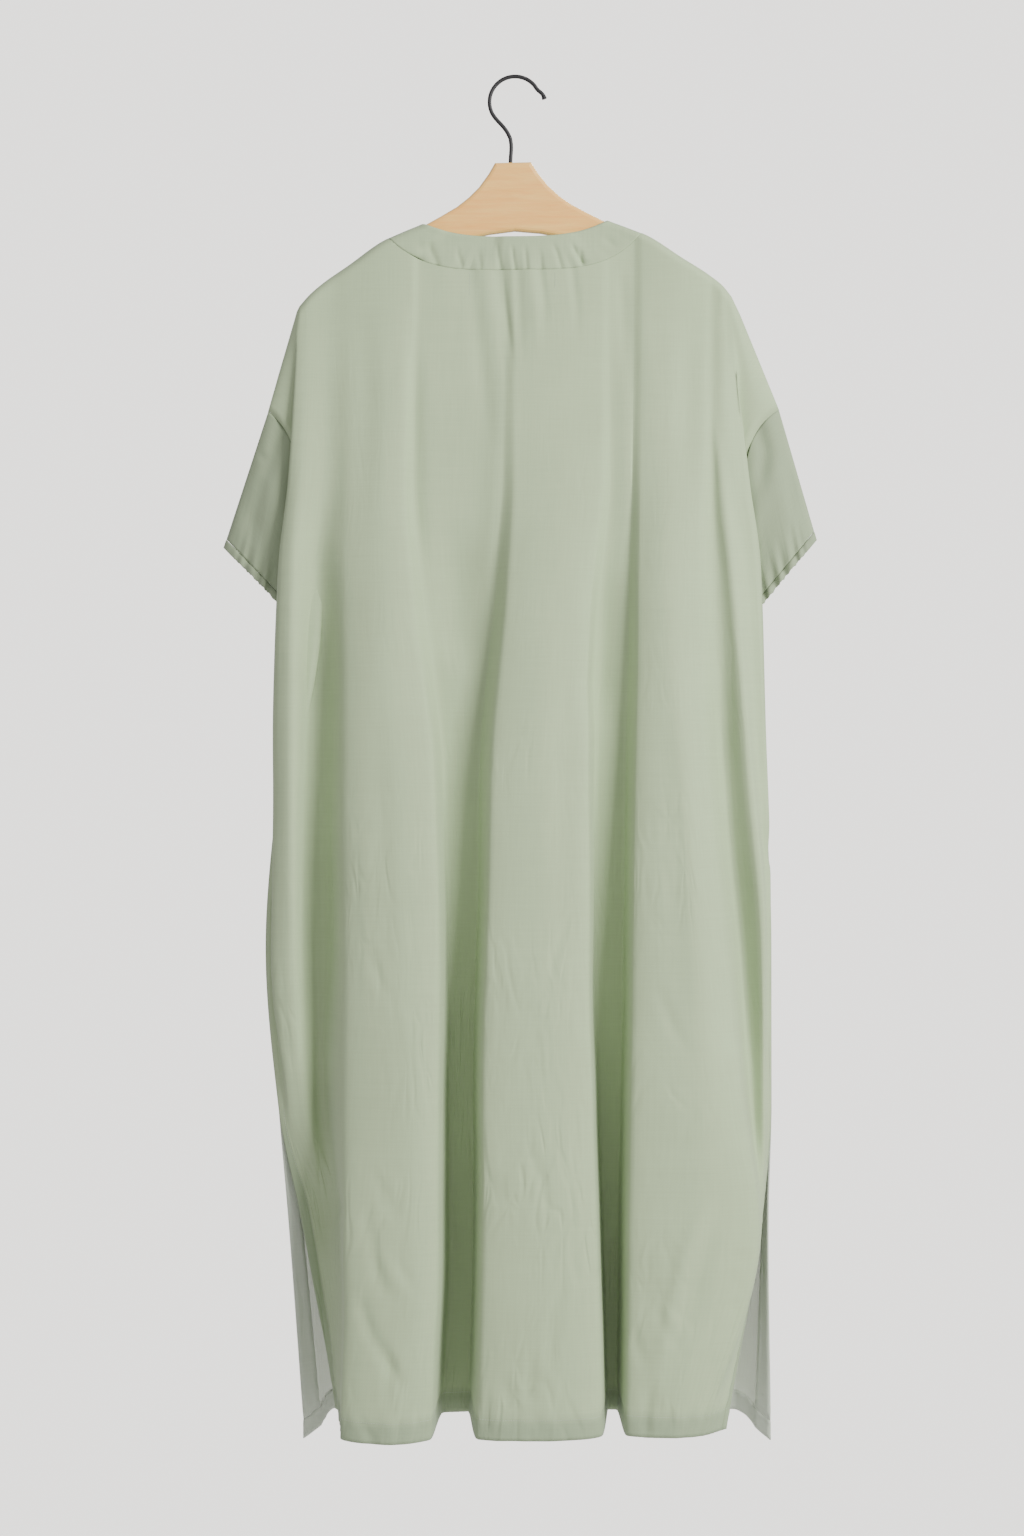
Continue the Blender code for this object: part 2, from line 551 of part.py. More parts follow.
def hook_route():
    """The middle of the wire: over the top, round the left and down into the stem."""
    centre = Vector((0, 0, -(HOOK_RADIUS - WIRE_RADIUS)))
    tip = [centre + Vector((29.5 * MM, 0, 3 * MM)), centre + Vector((28 * MM, 0, 7 * MM))]
    arc = [
        centre + HOOK_RADIUS * Vector((math.cos(math.radians(a)), 0, math.sin(math.radians(a))))
        for a in range(30, 216, 12)
    ]
    lower = arc[-1]
    bend_top = Vector((STEM_X - 5 * MM, 0, lower.z - 15 * MM))
    stem = [
        Vector((STEM_X - 2 * MM, 0, bend_top.z - 5 * MM)),
        Vector((STEM_X, 0, bend_top.z - 10 * MM)),
        Vector((STEM_X, 0, -(WOOD_TOP[0]["drop"] * MM) + SEAM_GAP * 1.5)),
    ]
    return tip + arc + [bend_top] + stem


def build_hook(finish):
    route = hook_route()
    curve = bpy.data.curves.new("hanger_hook", "CURVE")
    curve.dimensions = "3D"
    curve.bevel_depth = WIRE_RADIUS
    curve.bevel_resolution = 3
    curve.use_fill_caps = True
    spline = curve.splines.new("POLY")
    spline.points.add(len(route) - 1)
    for point, place in zip(spline.points, route):
        point.co = (*place, 1)
    spline.points[0].radius = 1.3
    return add_object("hanger_hook", curve, finish)


def build_dress():
    back = Panel(BACK_FOLDS, -1, BACK_BAND_SEAM_DROP)
    front = Panel(FRONT_FOLDS, 1, FRONT_BAND_SEAM_DROP)
    back_grid, back_columns = panel_grid(back, 33 * MM)
    front_grid, front_columns = panel_grid(front, 52 * MM)
    cloth_piece("back", back_grid)
    cloth_piece("front", front_grid)

    band = band_grid(back, back_grid, back_columns, BACK_NECK_EDGE_DROP, True)
    cloth_piece("neck_band_back", band, BAND_CLOTH)
    band = band_grid(front, front_grid, front_columns, FRONT_NECK_EDGE_DROP, False)
    cloth_piece("neck_band_front", band, BAND_CLOTH)

    slit_row = len(SHOULDER_ROWS) + len(BODY_ROWS) - 1
    for name, panel, grid, columns in (
        ("back", back, back_grid, back_columns),
        ("front", front, front_grid, front_columns),
    ):
        last = len(grid) - 1
        every = list(range(len(columns)))
        inside_strip("hem_" + name, panel, grid, [last - 1, last], every)
        skirt = list(range(slit_row + 1, last))
        left = [i for i, cut in enumerate(columns) if cut < panel.cuts[0] + SLIT_FACING + MM]
        right = [i for i, cut in enumerate(columns) if cut > panel.cuts[-1] - SLIT_FACING - MM]
        inside_strip(f"slit_facing_{name}_left", panel, grid, skirt, left, 2 * MM)
        inside_strip(f"slit_facing_{name}_right", panel, grid, skirt, right, 2 * MM)

    for name, sleeve in SLEEVES.items():
        loop = armhole_loop(back, back_grid, front, front_grid, sleeve["side"])
        build_sleeve("sleeve_" + name, sleeve, loop)
        build_cuff("cuff_" + name, sleeve)


def main():
    for obj in list(bpy.data.objects):
        bpy.data.objects.remove(obj)
    build_dress()
    build_wood(material("Pale wood", WOOD, 0.45))
    build_hook(material("Black wire", BLACK, 0.4, 0.6))


main()
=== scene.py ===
import math
import bmesh
import bpy
import numpy as np
from mathutils import Matrix, Vector, noise


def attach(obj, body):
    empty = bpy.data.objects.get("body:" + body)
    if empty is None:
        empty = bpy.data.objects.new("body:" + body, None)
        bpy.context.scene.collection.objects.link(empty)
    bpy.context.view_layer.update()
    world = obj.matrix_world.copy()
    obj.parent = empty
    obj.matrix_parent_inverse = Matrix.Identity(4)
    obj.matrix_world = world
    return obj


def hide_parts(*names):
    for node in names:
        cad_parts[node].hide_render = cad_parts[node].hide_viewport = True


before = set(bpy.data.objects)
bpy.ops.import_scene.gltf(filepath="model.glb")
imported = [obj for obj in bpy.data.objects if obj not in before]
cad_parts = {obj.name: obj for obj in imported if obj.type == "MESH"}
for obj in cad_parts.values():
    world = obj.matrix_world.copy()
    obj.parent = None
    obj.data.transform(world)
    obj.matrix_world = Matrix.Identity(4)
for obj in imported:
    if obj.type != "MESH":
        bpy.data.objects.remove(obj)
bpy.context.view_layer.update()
print("frame loaded")

mm = 0.001

# What both body panels and the pieces sewn to them share
dress = {
    "wall": 0.55 * mm,            # the visible cloth
    "turnedWall": 0.5 * mm,
    "layerStep": 1.0 * mm,        # from a panel to the edge turned in behind it
    "seamGap": 0.06 * mm,
    "ridgeGap": 0.25 * mm,
    "armholeGap": 0.1 * mm,
    "hemDepth": 20 * mm,
    "slitFacing": 22 * mm,
    "slitDrop": 1030 * mm,
    "underarmDrop": 491 * mm,
    "crestRounding": 8 * mm,
    "topLineRounding": 5 * mm,
    "sleeveTopDepth": 3 * mm,
    "backNeckSeam": 193 * mm,     # drops at the middle: where panel and band meet
    "frontNeckSeam": 268 * mm,
    "bandSeamHalfWidth": 127 * mm,
    "neckEdgeHalfWidth": 93 * mm,
    "topReach": 24 * mm,          # how far down the top edge's own places die away
    "calmTop": 60 * mm,           # where the slow unevenness sets in, from the top and sides
    "calmSide": 40 * mm,
    "slitStart": 40 * mm,
}
hemLine = {
    "back": {"drop": 1339.5 * mm, "perDepth": 0.16, "leftDip": 5 * mm, "leftReach": 120 * mm},
    "front": {"drop": 1345 * mm, "cornerDip": 25 * mm, "cornerReach": 70 * mm, "bend": 1.5},
}
camera = {"place": (-3 * mm, -3.0, -689.5 * mm), "lens": 70.3125, "sensor": 36}

# Heights, as drops in mm below the hook's rest, at which the fold tables place each fold
stations = np.array([242, 402, 491, 702, 870, 1030, 1140, 1350]) * mm

# The folds from left to right: how far along the cloth each lies, then at each station its
# place across and how far back it lies, all in mm
backFolds = {
    "left seam": (-322, (-215, -215, -208, -237, -250, -237, -216, -180),
        (-4, -2, 7.35, 7.35, 7.35, 7.35, 20, 42)),
    "left inner turn": (-303, (-203, -203, -193, -217, -233, -232, -207, -179),
        (-6.5, -7, -2, 0, 1, 4.5, 22, 35)),
    "left fold edge": (-262, (-216, -226, -235, -241, -244, -224, -198, -177),
        (-9, -14, -14, -13, -10, 0, 22, 22)),
    "left roll": (-243, (-207, -214, -221, -222, -222, -211, -190, -176),
        (-10, -19, -24, -27, -20, -1, 18, 8)),
    "left valley": (-216, (-185, -188, -198, -200, -197, -194, -180, -174),
        (-9, -13, -9, -2, 5, 11, 6, -8)),
    "pipe 1 left edge": (-182, (-163, -162, -166, -165, -165, -167, -170, -172),
        (-11, -20, -25, -32, -38, -42, -44, -42)),
    "pipe 1": (-139, (-128, -129, -128, -119, -113, -105, -105, -121),
        (-14, -25, -32, -42, -50, -56, -58, -58)),
    "pipe 1 right edge": (-109, (-104, -110, -106, -82, -77, -77, -77, -84),
        (-13, -23, -29, -37, -44, -48, -50, -48)),
    "valley 1 left foot": (-92, (-94, -97, -90, -70, -66, -66, -66, -73),
        (-10, -16, -15, -5, 3, 11, 17, 23)),
    "valley 1 right foot": (-30, (-12, -14, -20, -36, -39, -42, -42, -48),
        (-9, -14, -12, -3, 4, 11, 17, 23)),
    "pipe 2 left edge": (-14, (1, 1, -4, -22, -27, -31, -31, -37),
        (-12, -23, -29, -39, -46, -52, -54, -52)),
    "pipe 2": (34, (45, 43, 36, 29, 30, 29, 29, 24),
        (-13, -26, -34, -45, -53, -59, -62, -62)),
    "pipe 2 right edge": (74, (85, 84, 77, 71, 72, 76, 80, 86),
        (-12, -22, -28, -38, -45, -50, -51, -48)),
    "valley 2 left foot": (90, (96, 96, 89, 81, 81, 85, 89, 94),
        (-10, -15, -13, -4, 4, 12, 18, 23)),
    "valley 2 right foot": (123, (117, 116, 113, 109, 108, 106, 104, 103),
        (-9, -14, -12, -3, 4, 12, 18, 23)),
    "pipe 3 left edge": (139, (128, 126, 124, 119.5, 117.5, 115.5, 113.5, 111.5),
        (-12, -22, -27, -34, -41, -46, -48, -46)),
    "pipe 3": (173, (159, 156, 151, 161, 172, 180, 177, 154),
        (-14, -27, -34, -43, -50, -54, -55, -52)),
    "pipe 3 right edge": (204, (187, 184, 181, 189, 205, 224, 240, 182),
        (-12, -24, -28, -32, -36, -39, -38, -47)),
    "right valley": (226, (197, 196, 200, 211, 227, 237, 244, 188),
        (-10, -18, -18, -9, 0, -4, -26, -44)),
    "right roll": (246, (206, 206, 216, 233, 247, 248, 246, 193),
        (-11, -21, -25, -25, -19, -10, -15, -41)),
    "right inner valley": (265, (212, 217, 230, 243, 251, 252, 247, 197),
        (-10, -18, -11, -8, -6, -2, -5, -38)),
    "right fold edge": (280, (217, 236, 247, 253, 256, 254, 247.5, 201),
        (-9.5, -13, -7, -4, -1, 2, 3, -35)),
    "right inner turn": (311, (221, 217, 209, 237, 250, 255.5, 248, 205),
        (-6.5, -5.5, 0, 2, 4, 5, 9, -32)),
    "right seam": (326, (227, 227, 223, 250, 257, 257, 248, 208),
        (-4, -2, 7.35, 7.35, 7.35, 7.35, 12, -29)),
}

frontFolds = {
    "left seam": (-322, (-222, -215, -208, -237, -250, -237, -229, -215),
        (10, 12, 8.65, 8.65, 8.65, 8.65, 26, 46)),
    "left inner turn": (-303, (-218, -207, -195, -219, -234, -228, -218, -200),
        (13, 17, 17, 17, 15, 15, 34, 58)),
    "left fold edge": (-262, (-214, -222, -233, -238, -240, -224, -208, -190),
        (17, 25, 28, 28, 25, 24, 44, 68)),
    "left pipe": (-215, (-185, -190, -195, -198, -198, -196, -185, -172),
        (20, 33, 38, 44, 50, 58, 68, 80)),
    "left valley": (-150, (-128, -128, -130, -130, -130, -128, -126, -124),
        (9, 25, 26, 27, 30, 36, 42, 50)),
    "middle left pipe": (-60, (-50, -50, -52, -54, -54, -56, -56, -58),
        (12, 34, 42, 52, 62, 74, 84, 94)),
    "middle valley": (30, (25, 25, 27, 28, 28, 28, 28, 27),
        (9, 25, 27, 30, 34, 40, 44, 50)),
    "middle right pipe": (110, (100, 100, 100, 98, 98, 98, 98, 100),
        (12, 34, 43, 54, 66, 78, 88, 98)),
    "right valley": (190, (170, 172, 172, 174, 176, 176, 174, 170),
        (9, 25, 27, 30, 36, 44, 50, 58)),
    "right pipe": (240, (205, 212, 220, 226, 228, 228, 224, 216),
        (20, 32, 34, 38, 44, 52, 60, 70)),
    "right fold edge": (280, (217, 233, 243, 248, 250, 250, 244, 236),
        (17, 25, 27, 27, 24, 22, 36, 58)),
    "right inner turn": (311, (222, 219, 211, 238, 250, 254, 252, 248),
        (13, 17, 17, 17, 15, 14, 26, 48)),
    "right seam": (326, (227, 227, 223, 250, 257, 257, 255, 259),
        (10, 12, 8.65, 8.65, 8.65, 8.65, 18, 38)),
}

# Soft troughs and ridges in mm, where the camera sees them: route (across, drop), width, height
# (below 0 for a trough) and the shares of the route over which its two ends die away
backCreases = {
    "gather 1": ([(-45, 192), (-37, 262), (-30, 322), (-20, 392)], 5, -2.2, (0, 0.6)),
    "gather 2": ([(-15, 192), (-7, 252), (0, 302)], 4, -1.8, (0, 0.6)),
    "gather 3": ([(2, 192), (5, 242), (8, 300)], 4.5, -1.5, (0, 0.6)),
    "gather 4": ([(-58, 190), (-55, 230), (-57, 290)], 4, -1.2, (0, 0.7)),
    "gather 5": ([(25, 190), (30, 225), (29, 262)], 3.5, -1.2, (0, 0.7)),
    "gather 6": ([(57, 187), (62, 230), (60, 275)], 4, -1.3, (0, 0.7)),
    "gather ridge 1": ([(-30, 192), (-20, 262), (-8, 352)], 6, 1.3, (0, 0.6)),
    "gather ridge 2": ([(15, 192), (20, 232), (24, 292)], 5, 1.0, (0, 0.6)),
    "right long fold": ([(106, 184), (109, 250), (110, 320)], 5, -1.0, (0.2, 0.6)),
    "right foot filled": ([(111, 230), (113, 350), (112, 450), (108, 580)], 11, 2.4, (0.3, 0.3)),
    "middle foot filled": ([(-13, 250), (-14, 350), (-19, 440), (-28, 560)], 12, 3.2, (0.3, 0.3)),
    "right long ridge": ([(126, 190), (132, 290), (136, 420)], 9, 0.6, (0.3, 0.5)),
    "left of middle": ([(-102, 200), (-103, 290), (-104, 420), (-100, 520)], 6, -1.8, (0.3, 0.3)),
    "left shoulder soft": ([(-150, 215), (-147, 330), (-152, 470)], 12, -1.6, (0.4, 0.5)),
    "right shoulder soft": ([(175, 215), (172, 330), (168, 440)], 12, -1.6, (0.4, 0.5)),
    "left valley": ([(-186, 440), (-192, 540), (-194, 640), (-196, 800), (-198, 980)],
        15, -9.0, (0.35, 0.25)),
    "left valley low": ([(-192, 960), (-188, 1090), (-184, 1220), (-182, 1330)],
        11, -5.0, (0.35, 0.3)),
    "left edge roll": ([(-232, 260), (-234, 400), (-238, 560), (-242, 760)], 5, 1.2, (0.3, 0.3)),
    "right shade 1": ([(222, 262), (226, 340), (232, 420), (236, 480)], 8, -2.6, (0.2, 0.35)),
    "right shade 2": ([(208, 560), (209, 640), (212, 730)], 9, -3.2, (0.4, 0.4)),
    "right edge 1": ([(197, 322), (207, 402), (215, 482), (222, 562), (229, 622)],
        4, 1.6, (0.25, 0.2)),
    "valley 1 top": ([(-97, 255), (-99, 330), (-98, 430), (-92, 520)], 7, -2.6, (0.3, 0.3)),
    "valley 1 broad": ([(-60, 430), (-58, 520), (-56, 600)], 22, -5.0, (0.4, 0.3)),
    "valley 2 broad": ([(86, 460), (87, 560), (86, 660)], 14, -4.5, (0.4, 0.3)),
    "pipe 1 lean 1": ([(-150, 860), (-134, 905), (-122, 930)], 5, -1.3, (0.4, 0.5)),
    "pipe 1 lean 2": ([(-146, 1085), (-128, 1120), (-108, 1146)], 4.5, -1.3, (0.4, 0.5)),
    "pipe 1 lean 3": ([(-120, 1180), (-104, 1206), (-92, 1222)], 3.5, -1.1, (0.4, 0.5)),
    "pipe 2 lean 1": ([(62, 820), (42, 872), (26, 930)], 5, -1.2, (0.4, 0.5)),
    "pipe 2 lean 2": ([(8, 1060), (26, 1098), (38, 1150)], 4.5, -1.3, (0.4, 0.5)),
    "pipe 2 lean 3": ([(56, 1180), (36, 1240), (30, 1290)], 4.5, -1.2, (0.4, 0.5)),
    "pipe 3 lean 1": ([(140, 900), (158, 950), (182, 985)], 5, -1.3, (0.4, 0.5)),
    "pipe 3 lean 2": ([(206, 1090), (180, 1130), (160, 1180)], 5, -1.3, (0.4, 0.5)),
    "pipe 3 lean 3": ([(132, 1210), (150, 1250), (176, 1290)], 4.5, -1.2, (0.4, 0.5)),
    "pipe 1 crease": ([(-130, 1276), (-122, 1290), (-115, 1302)], 4, -1.6, (0.4, 0.5)),
    "pipe 1 hem crease": ([(-160, 1336), (-150, 1352), (-140, 1366)], 4, -1.8, (0.4, 0.1)),
    "pipe 1 slant 1": ([(-152, 1117), (-143, 1170), (-133, 1210), (-108, 1232)],
        5, -1.9, (0.4, 0.4)),
    "pipe 1 slant ridge": ([(-146, 1160), (-121, 1200), (-100, 1222)], 6, 1.4, (0.4, 0.5)),
    "pipe 1 slant 2": ([(-160, 1205), (-145, 1256), (-130, 1280), (-114, 1306), (-96, 1322)],
        5.5, -2.4, (0.35, 0.4)),
    "pipe 1 short": ([(-131, 1262), (-127, 1298), (-130, 1326)], 4.5, -1.6, (0.4, 0.4)),
    "pipe 2 low 1": ([(20, 1280), (13, 1311), (19, 1330)], 5, -1.8, (0.4, 0.4)),
    "pipe 2 low 2": ([(50, 1236), (36, 1265), (32, 1296)], 5.5, -1.6, (0.5, 0.4)),
    "pipe 2 low 3": ([(-16, 1296), (-6, 1316), (0, 1332)], 5, -1.7, (0.5, 0.4)),
    "pipe 3 slant ridge": (
        [(196, 1084), (185, 1125), (171, 1172), (158, 1221), (147, 1276), (139, 1325)],
        8, 2.2, (0.4, 0.3)),
    "pipe 3 slant": ([(212, 1100), (200, 1140), (187, 1188), (175, 1240), (165, 1290)],
        9, -2.2, (0.4, 0.4)),
    "pipe 3 foot": ([(116, 1236), (122, 1265), (130, 1294)], 6, -2.0, (0.5, 0.4)),
    "pipe 3 hem crease": ([(136, 1296), (133, 1328), (131, 1360)], 5, -2.4, (0.5, 0.1)),
    "pipe 1 soft": ([(-140, 560), (-133, 760), (-124, 980)], 13, -1.8, (0.5, 0.5)),
    "pipe 2 soft": ([(52, 480), (48, 700), (50, 960)], 14, -1.8, (0.5, 0.5)),
    "pipe 3 soft": ([(146, 560), (160, 780), (168, 1010)], 13, -1.6, (0.5, 0.5)),
    "right edge pinch": ([(247, 742), (252, 768), (256, 792)], 5, -2.2, (0.5, 0.3)),
    "left slit facet": ([(-175, 1108), (-187, 1150), (-198, 1188)], 7, -2.4, (0.3, 0.4)),
    "slit pucker 1": ([(212, 1174), (226, 1180), (236, 1184)], 4, -1.5, (0.5, 0.3)),
    "slit pucker 2": ([(214, 1200), (224, 1208), (232, 1212)], 4, -1.4, (0.5, 0.3)),
    "slit pucker 3": ([(210, 1224), (220, 1229), (228, 1231)], 4, -1.2, (0.5, 0.3)),
}

frontCreases = {
    "gather 1": ([(-52, 268), (-46, 350), (-42, 450)], 6, -2.4, (0, 0.6)),
    "gather 2": ([(-18, 268), (-12, 330), (-10, 410)], 5, -1.8, (0, 0.6)),
    "gather 3": ([(22, 268), (25, 360), (22, 480)], 6, -2.2, (0, 0.6)),
    "gather 4": ([(61, 262), (66, 320), (70, 400)], 5, -1.7, (0, 0.6)),
    "left shoulder": ([(-150, 215), (-140, 330), (-132, 470)], 10, -2.2, (0.4, 0.5)),
    "right shoulder": ([(168, 215), (160, 340), (163, 480)], 10, -2.0, (0.4, 0.5)),
    "left long": ([(-92, 560), (-88, 800), (-94, 1120)], 11, -2.6, (0.4, 0.4)),
    "right long": ([(140, 600), (136, 830), (140, 1180)], 10, -2.4, (0.4, 0.4)),
    "middle low": ([(64, 820), (60, 1010), (66, 1240)], 12, -2.2, (0.4, 0.4)),
    "left hem": ([(-20, 1180), (-14, 1270), (-18, 1350)], 8, -2.0, (0.5, 0.1)),
}

bandCreases = {
    "pucker 1": ([(-86, 158), (-84, 172), (-78, 186)], 3.2, -1.6, (0.5, 0)),
    "pucker 2": ([(-57, 164), (-57, 176), (-53, 188)], 2.4, -1.2, (0.6, 0)),
    "pucker 3": ([(-35, 166), (-36, 178), (-34, 190)], 2.6, -0.8, (0.6, 0)),
    "pucker 4": ([(-18, 162), (-17, 178), (-14, 191)], 2.6, -1.1, (0.4, 0)),
    "pucker 5": ([(-3, 164), (-2, 178), (0, 191)], 2.2, -1.2, (0.4, 0)),
    "pucker 6": ([(10, 163), (11, 178), (12, 190)], 2.4, -1.0, (0.5, 0)),
    "pucker 7": ([(24, 166), (26, 178), (27, 190)], 2.4, -0.8, (0.6, 0)),
    "pucker 8": ([(36, 161), (42, 174), (46, 188)], 2.8, -1.3, (0.5, 0)),
    "right pull": ([(56, 162), (61, 174), (67, 184)], 2.6, -2.0, (0.5, 0)),
    "right knot": ([(65, 168), (67, 184), (76, 181)], 2.4, -1.8, (0.3, 0.4)),
    "left fold over": ([(-120, 175), (-104, 180), (-88, 184)], 3.2, -2.2, (0.3, 0.3)),
    "left soft 1": ([(-104, 162), (-92, 170), (-76, 170)], 5, -1.1, (0.5, 0.5)),
    "right soft 1": ([(84, 158), (96, 164), (104, 172)], 4, -1.0, (0.5, 0.5)),
}

sleeveCreases = {
    "left valley": ([(-222, 322), (-240, 372), (-253, 402), (-268, 470)], 9, -3.4, (0.3, 0.2)),
    "left faint": ([(-259, 372), (-253, 378), (-248, 384)], 4, -1.4, (0.5, 0.5)),
    "left second": ([(-262, 350), (-270, 400), (-277, 450)], 7, -1.6, (0.5, 0.3)),
    "right valley": ([(236, 322), (250, 372), (247, 402), (243, 432)], 8, -2.8, (0.3, 0.4)),
    "right second": ([(268, 350), (276, 400), (282, 450)], 8, -1.6, (0.5, 0.3)),
}

# (across, drop) in mm: the shoulder line's end, the sleeve's seam and the two ends of its cuff,
# with how far back those two ends turn
sleeves = {
    "left": {"side": -1, "tipCut": -262, "tip": (-217, 230), "seamTop": (-247, 333),
             "cuffTop": (-293, 468), "cuffBottom": (-218, 545), "cuffDepths": (20, 7)},
    "right": {"side": 1, "tipCut": 280, "tip": (219, 222), "seamTop": (264, 331),
              "cuffTop": (301, 462), "cuffBottom": (236, 541), "cuffDepths": (-3, 13)},
}
cuff = {
    "depth": 9 * mm, "start": 0.6 * mm, "halfThickness": 10 * mm, "wall": 1.1 * mm, "rows": 9,
    "gathers": 20, "gatherHeight": 2.0 * mm, "drawnFrom": 0.4, "wander": 2.2,
    "swell": 0.6 * mm, "seamDip": 0.7 * mm, "doubled": 0.7, "columnsEachGather": 14,
}
sleeveCloth = {
    "columnsEachSide": 44, "rows": 62, "fullness": 3 * mm, "round": 0.05, "length": 0.16,
    "unevenSize": 0.05, "uneven": 2.2 * mm, "seed": 3.0,
    "gathersFrom": 0.72, "gathersBend": 1.6, "topDip": 0.7 * mm,
}

# Half of the wood's top edge, which the shoulder line runs over
woodTop = {
    "out": (0, 18, 25, 34.5, 45, 57, 74, 92, 111, 131, 167, 192, 206),
    "drop": (84.5, 84.5, 96, 108.5, 118.5, 127.5, 137, 146.5, 153.5, 162, 186, 202.5, 214),
    "centre": -2 * mm, "tilt": 1.3, "toCloth": 2.2 * mm,
}


# A curve through the values that never overshoots them and is level at each turning point
def smoothThrough(knots, values, at):
    knots, values = np.asarray(knots, float), np.asarray(values, float)
    step = np.diff(knots)
    rise = np.diff(values, axis=-1) / step
    slope = np.zeros_like(values)
    slope[..., 0], slope[..., -1] = rise[..., 0], rise[..., -1]
    near, far = 2 * step[1:] + step[:-1], step[1:] + 2 * step[:-1]
    before, after = rise[..., :-1], rise[..., 1:]
    turning = before * after <= 0
    steady = near / np.where(turning, 1, before) + far / np.where(turning, 1, after)
    slope[..., 1:-1] = np.where(turning, 0, (near + far) / np.where(turning, 1, steady))
    at = np.clip(at, knots[0], knots[-1])
    k = np.clip(np.searchsorted(knots, at, side="right") - 1, 0, len(step) - 1)
    t = (at - knots[k]) / step[k]
    return (
        values[..., k] * (1 + 2 * t) * (1 - t) ** 2
        + slope[..., k] * step[k] * t * (1 - t) ** 2
        + values[..., k + 1] * t * t * (3 - 2 * t)
        - slope[..., k + 1] * step[k] * t * t * (1 - t)
    )


# How far below the hook the shoulder line runs, over the wood and past its ends
def crestDrop(across):
    out, drop = np.array(woodTop["out"]) * mm, np.array(woodTop["drop"]) * mm
    xs = np.concatenate([-out[:0:-1], out])
    zs = -np.concatenate([drop[:0:-1], drop])
    turn = math.radians(woodTop["tilt"])
    pivot = -drop[0]
    tiltedX = woodTop["centre"] + xs * math.cos(turn) - (zs - pivot) * math.sin(turn)
    tiltedZ = pivot + xs * math.sin(turn) + (zs - pivot) * math.cos(turn)
    left, right = sleeves["left"]["tip"], sleeves["right"]["tip"]
    places = np.concatenate([[left[0] * mm], tiltedX, [right[0] * mm]])
    drops = np.concatenate([[left[1] * mm], -tiltedZ - woodTop["toCloth"], [right[1] * mm]])
    return smoothThrough(places, drops, across)


def makePanel(folds, facing, neckDrop):
    return {
        "facing": facing,
        "neckDrop": neckDrop,
        "cuts": np.array([cut for cut, across, depth in folds.values()]) * mm,
        "across": np.array([across for cut, across, depth in folds.values()]) * mm,
        "depth": np.array([depth for cut, across, depth in folds.values()]) * mm,
    }


# Across and depth of the threads where the whole panel is cut level at each drop
def levelSections(panel, cuts, drops):
    across = smoothThrough(stations, panel["across"], drops)
    depth = smoothThrough(stations, panel["depth"], drops)
    return smoothThrough(panel["cuts"], across.T, cuts), smoothThrough(panel["cuts"], depth.T, cuts)


def neckSeamDrop(panel, across):
    half = dress["bandSeamHalfWidth"]
    share = np.clip(abs(across) / half, 0, 1)
    side = np.where(across > 0, half, -half)
    return panel["neckDrop"] + (crestDrop(side) - panel["neckDrop"]) * share**4


# Where each thread starts: place, rounding radius and the slope of the top edge there
def threadTops(panel, cuts):
    across = levelSections(panel, cuts, stations[:1])[0][0]
    crest = crestDrop(across)
    slope = (crestDrop(across + mm) - crestDrop(across - mm)) / (2 * mm)
    onBand = abs(across) < dress["bandSeamHalfWidth"]
    belowBand = neckSeamDrop(panel, across) + dress["seamGap"]
    drop = np.where(onBand, np.maximum(crest, belowBand), crest)
    depth = np.full(len(cuts), panel["facing"] * dress["ridgeGap"] / 2)
    rounding = np.full(len(cuts), dress["crestRounding"])
    for sleeve in sleeves.values():
        tipCut = abs(sleeve["tipCut"]) * mm
        endCut = abs(panel["cuts"][0 if sleeve["side"] < 0 else -1])
        beyond = (cuts * sleeve["side"] > tipCut)
        share = (abs(cuts) - tipCut) / (endCut - tipCut)
        tip, end = np.array(sleeve["tip"]) * mm, np.array(sleeve["seamTop"]) * mm
        across = np.where(beyond, tip[0] + (end[0] - tip[0]) * share, across)
        drop = np.where(beyond, tip[1] + (end[1] - tip[1]) * share, drop)
        slope = np.where(beyond, (end[1] - tip[1]) / abs(end[0] - tip[0]), slope)
        depth = np.where(beyond, depth + dress["sleeveTopDepth"] * share, depth)
        easing = (dress["topLineRounding"] - dress["crestRounding"]) * share
        rounding = np.where(beyond, dress["crestRounding"] + easing, rounding)
    return across, depth, drop, rounding, slope


# Points of these threads (columns) at these drops (rows by columns), middle of the cloth
def layThreads(panel, cuts, drops):
    topX, topY, topDrop, rounding, slope = threadTops(panel, cuts)
    dense = np.arange(0.15, 1.42, 0.002)
    sectionX, sectionY = levelSections(panel, cuts, dense)
    x, y = np.empty_like(drops), np.empty_like(drops)
    for c in range(len(cuts)):
        start = np.interp(topDrop[c], dense, sectionX[:, c])
        below = np.maximum(drops[:, c] - topDrop[c], 0)
        x[:, c] = np.interp(drops[:, c], dense, sectionX[:, c])
        x[:, c] += (topX[c] - start) * np.exp(-below / dress["topReach"])
        y[:, c] = np.interp(drops[:, c], dense, sectionY[:, c])
    onBand = abs(topX) < dress["bandSeamHalfWidth"]
    crest = np.where(onBand, np.minimum(crestDrop(topX), topDrop), topDrop)
    share = np.clip((drops - crest) / np.sqrt(1 + slope**2) / rounding, 0, 1)
    bend = np.sqrt(np.maximum(0, 1 - (1 - share) ** 2))
    y = topY + (y - topY) * bend
    return np.stack([x, y, -drops], axis=-1)


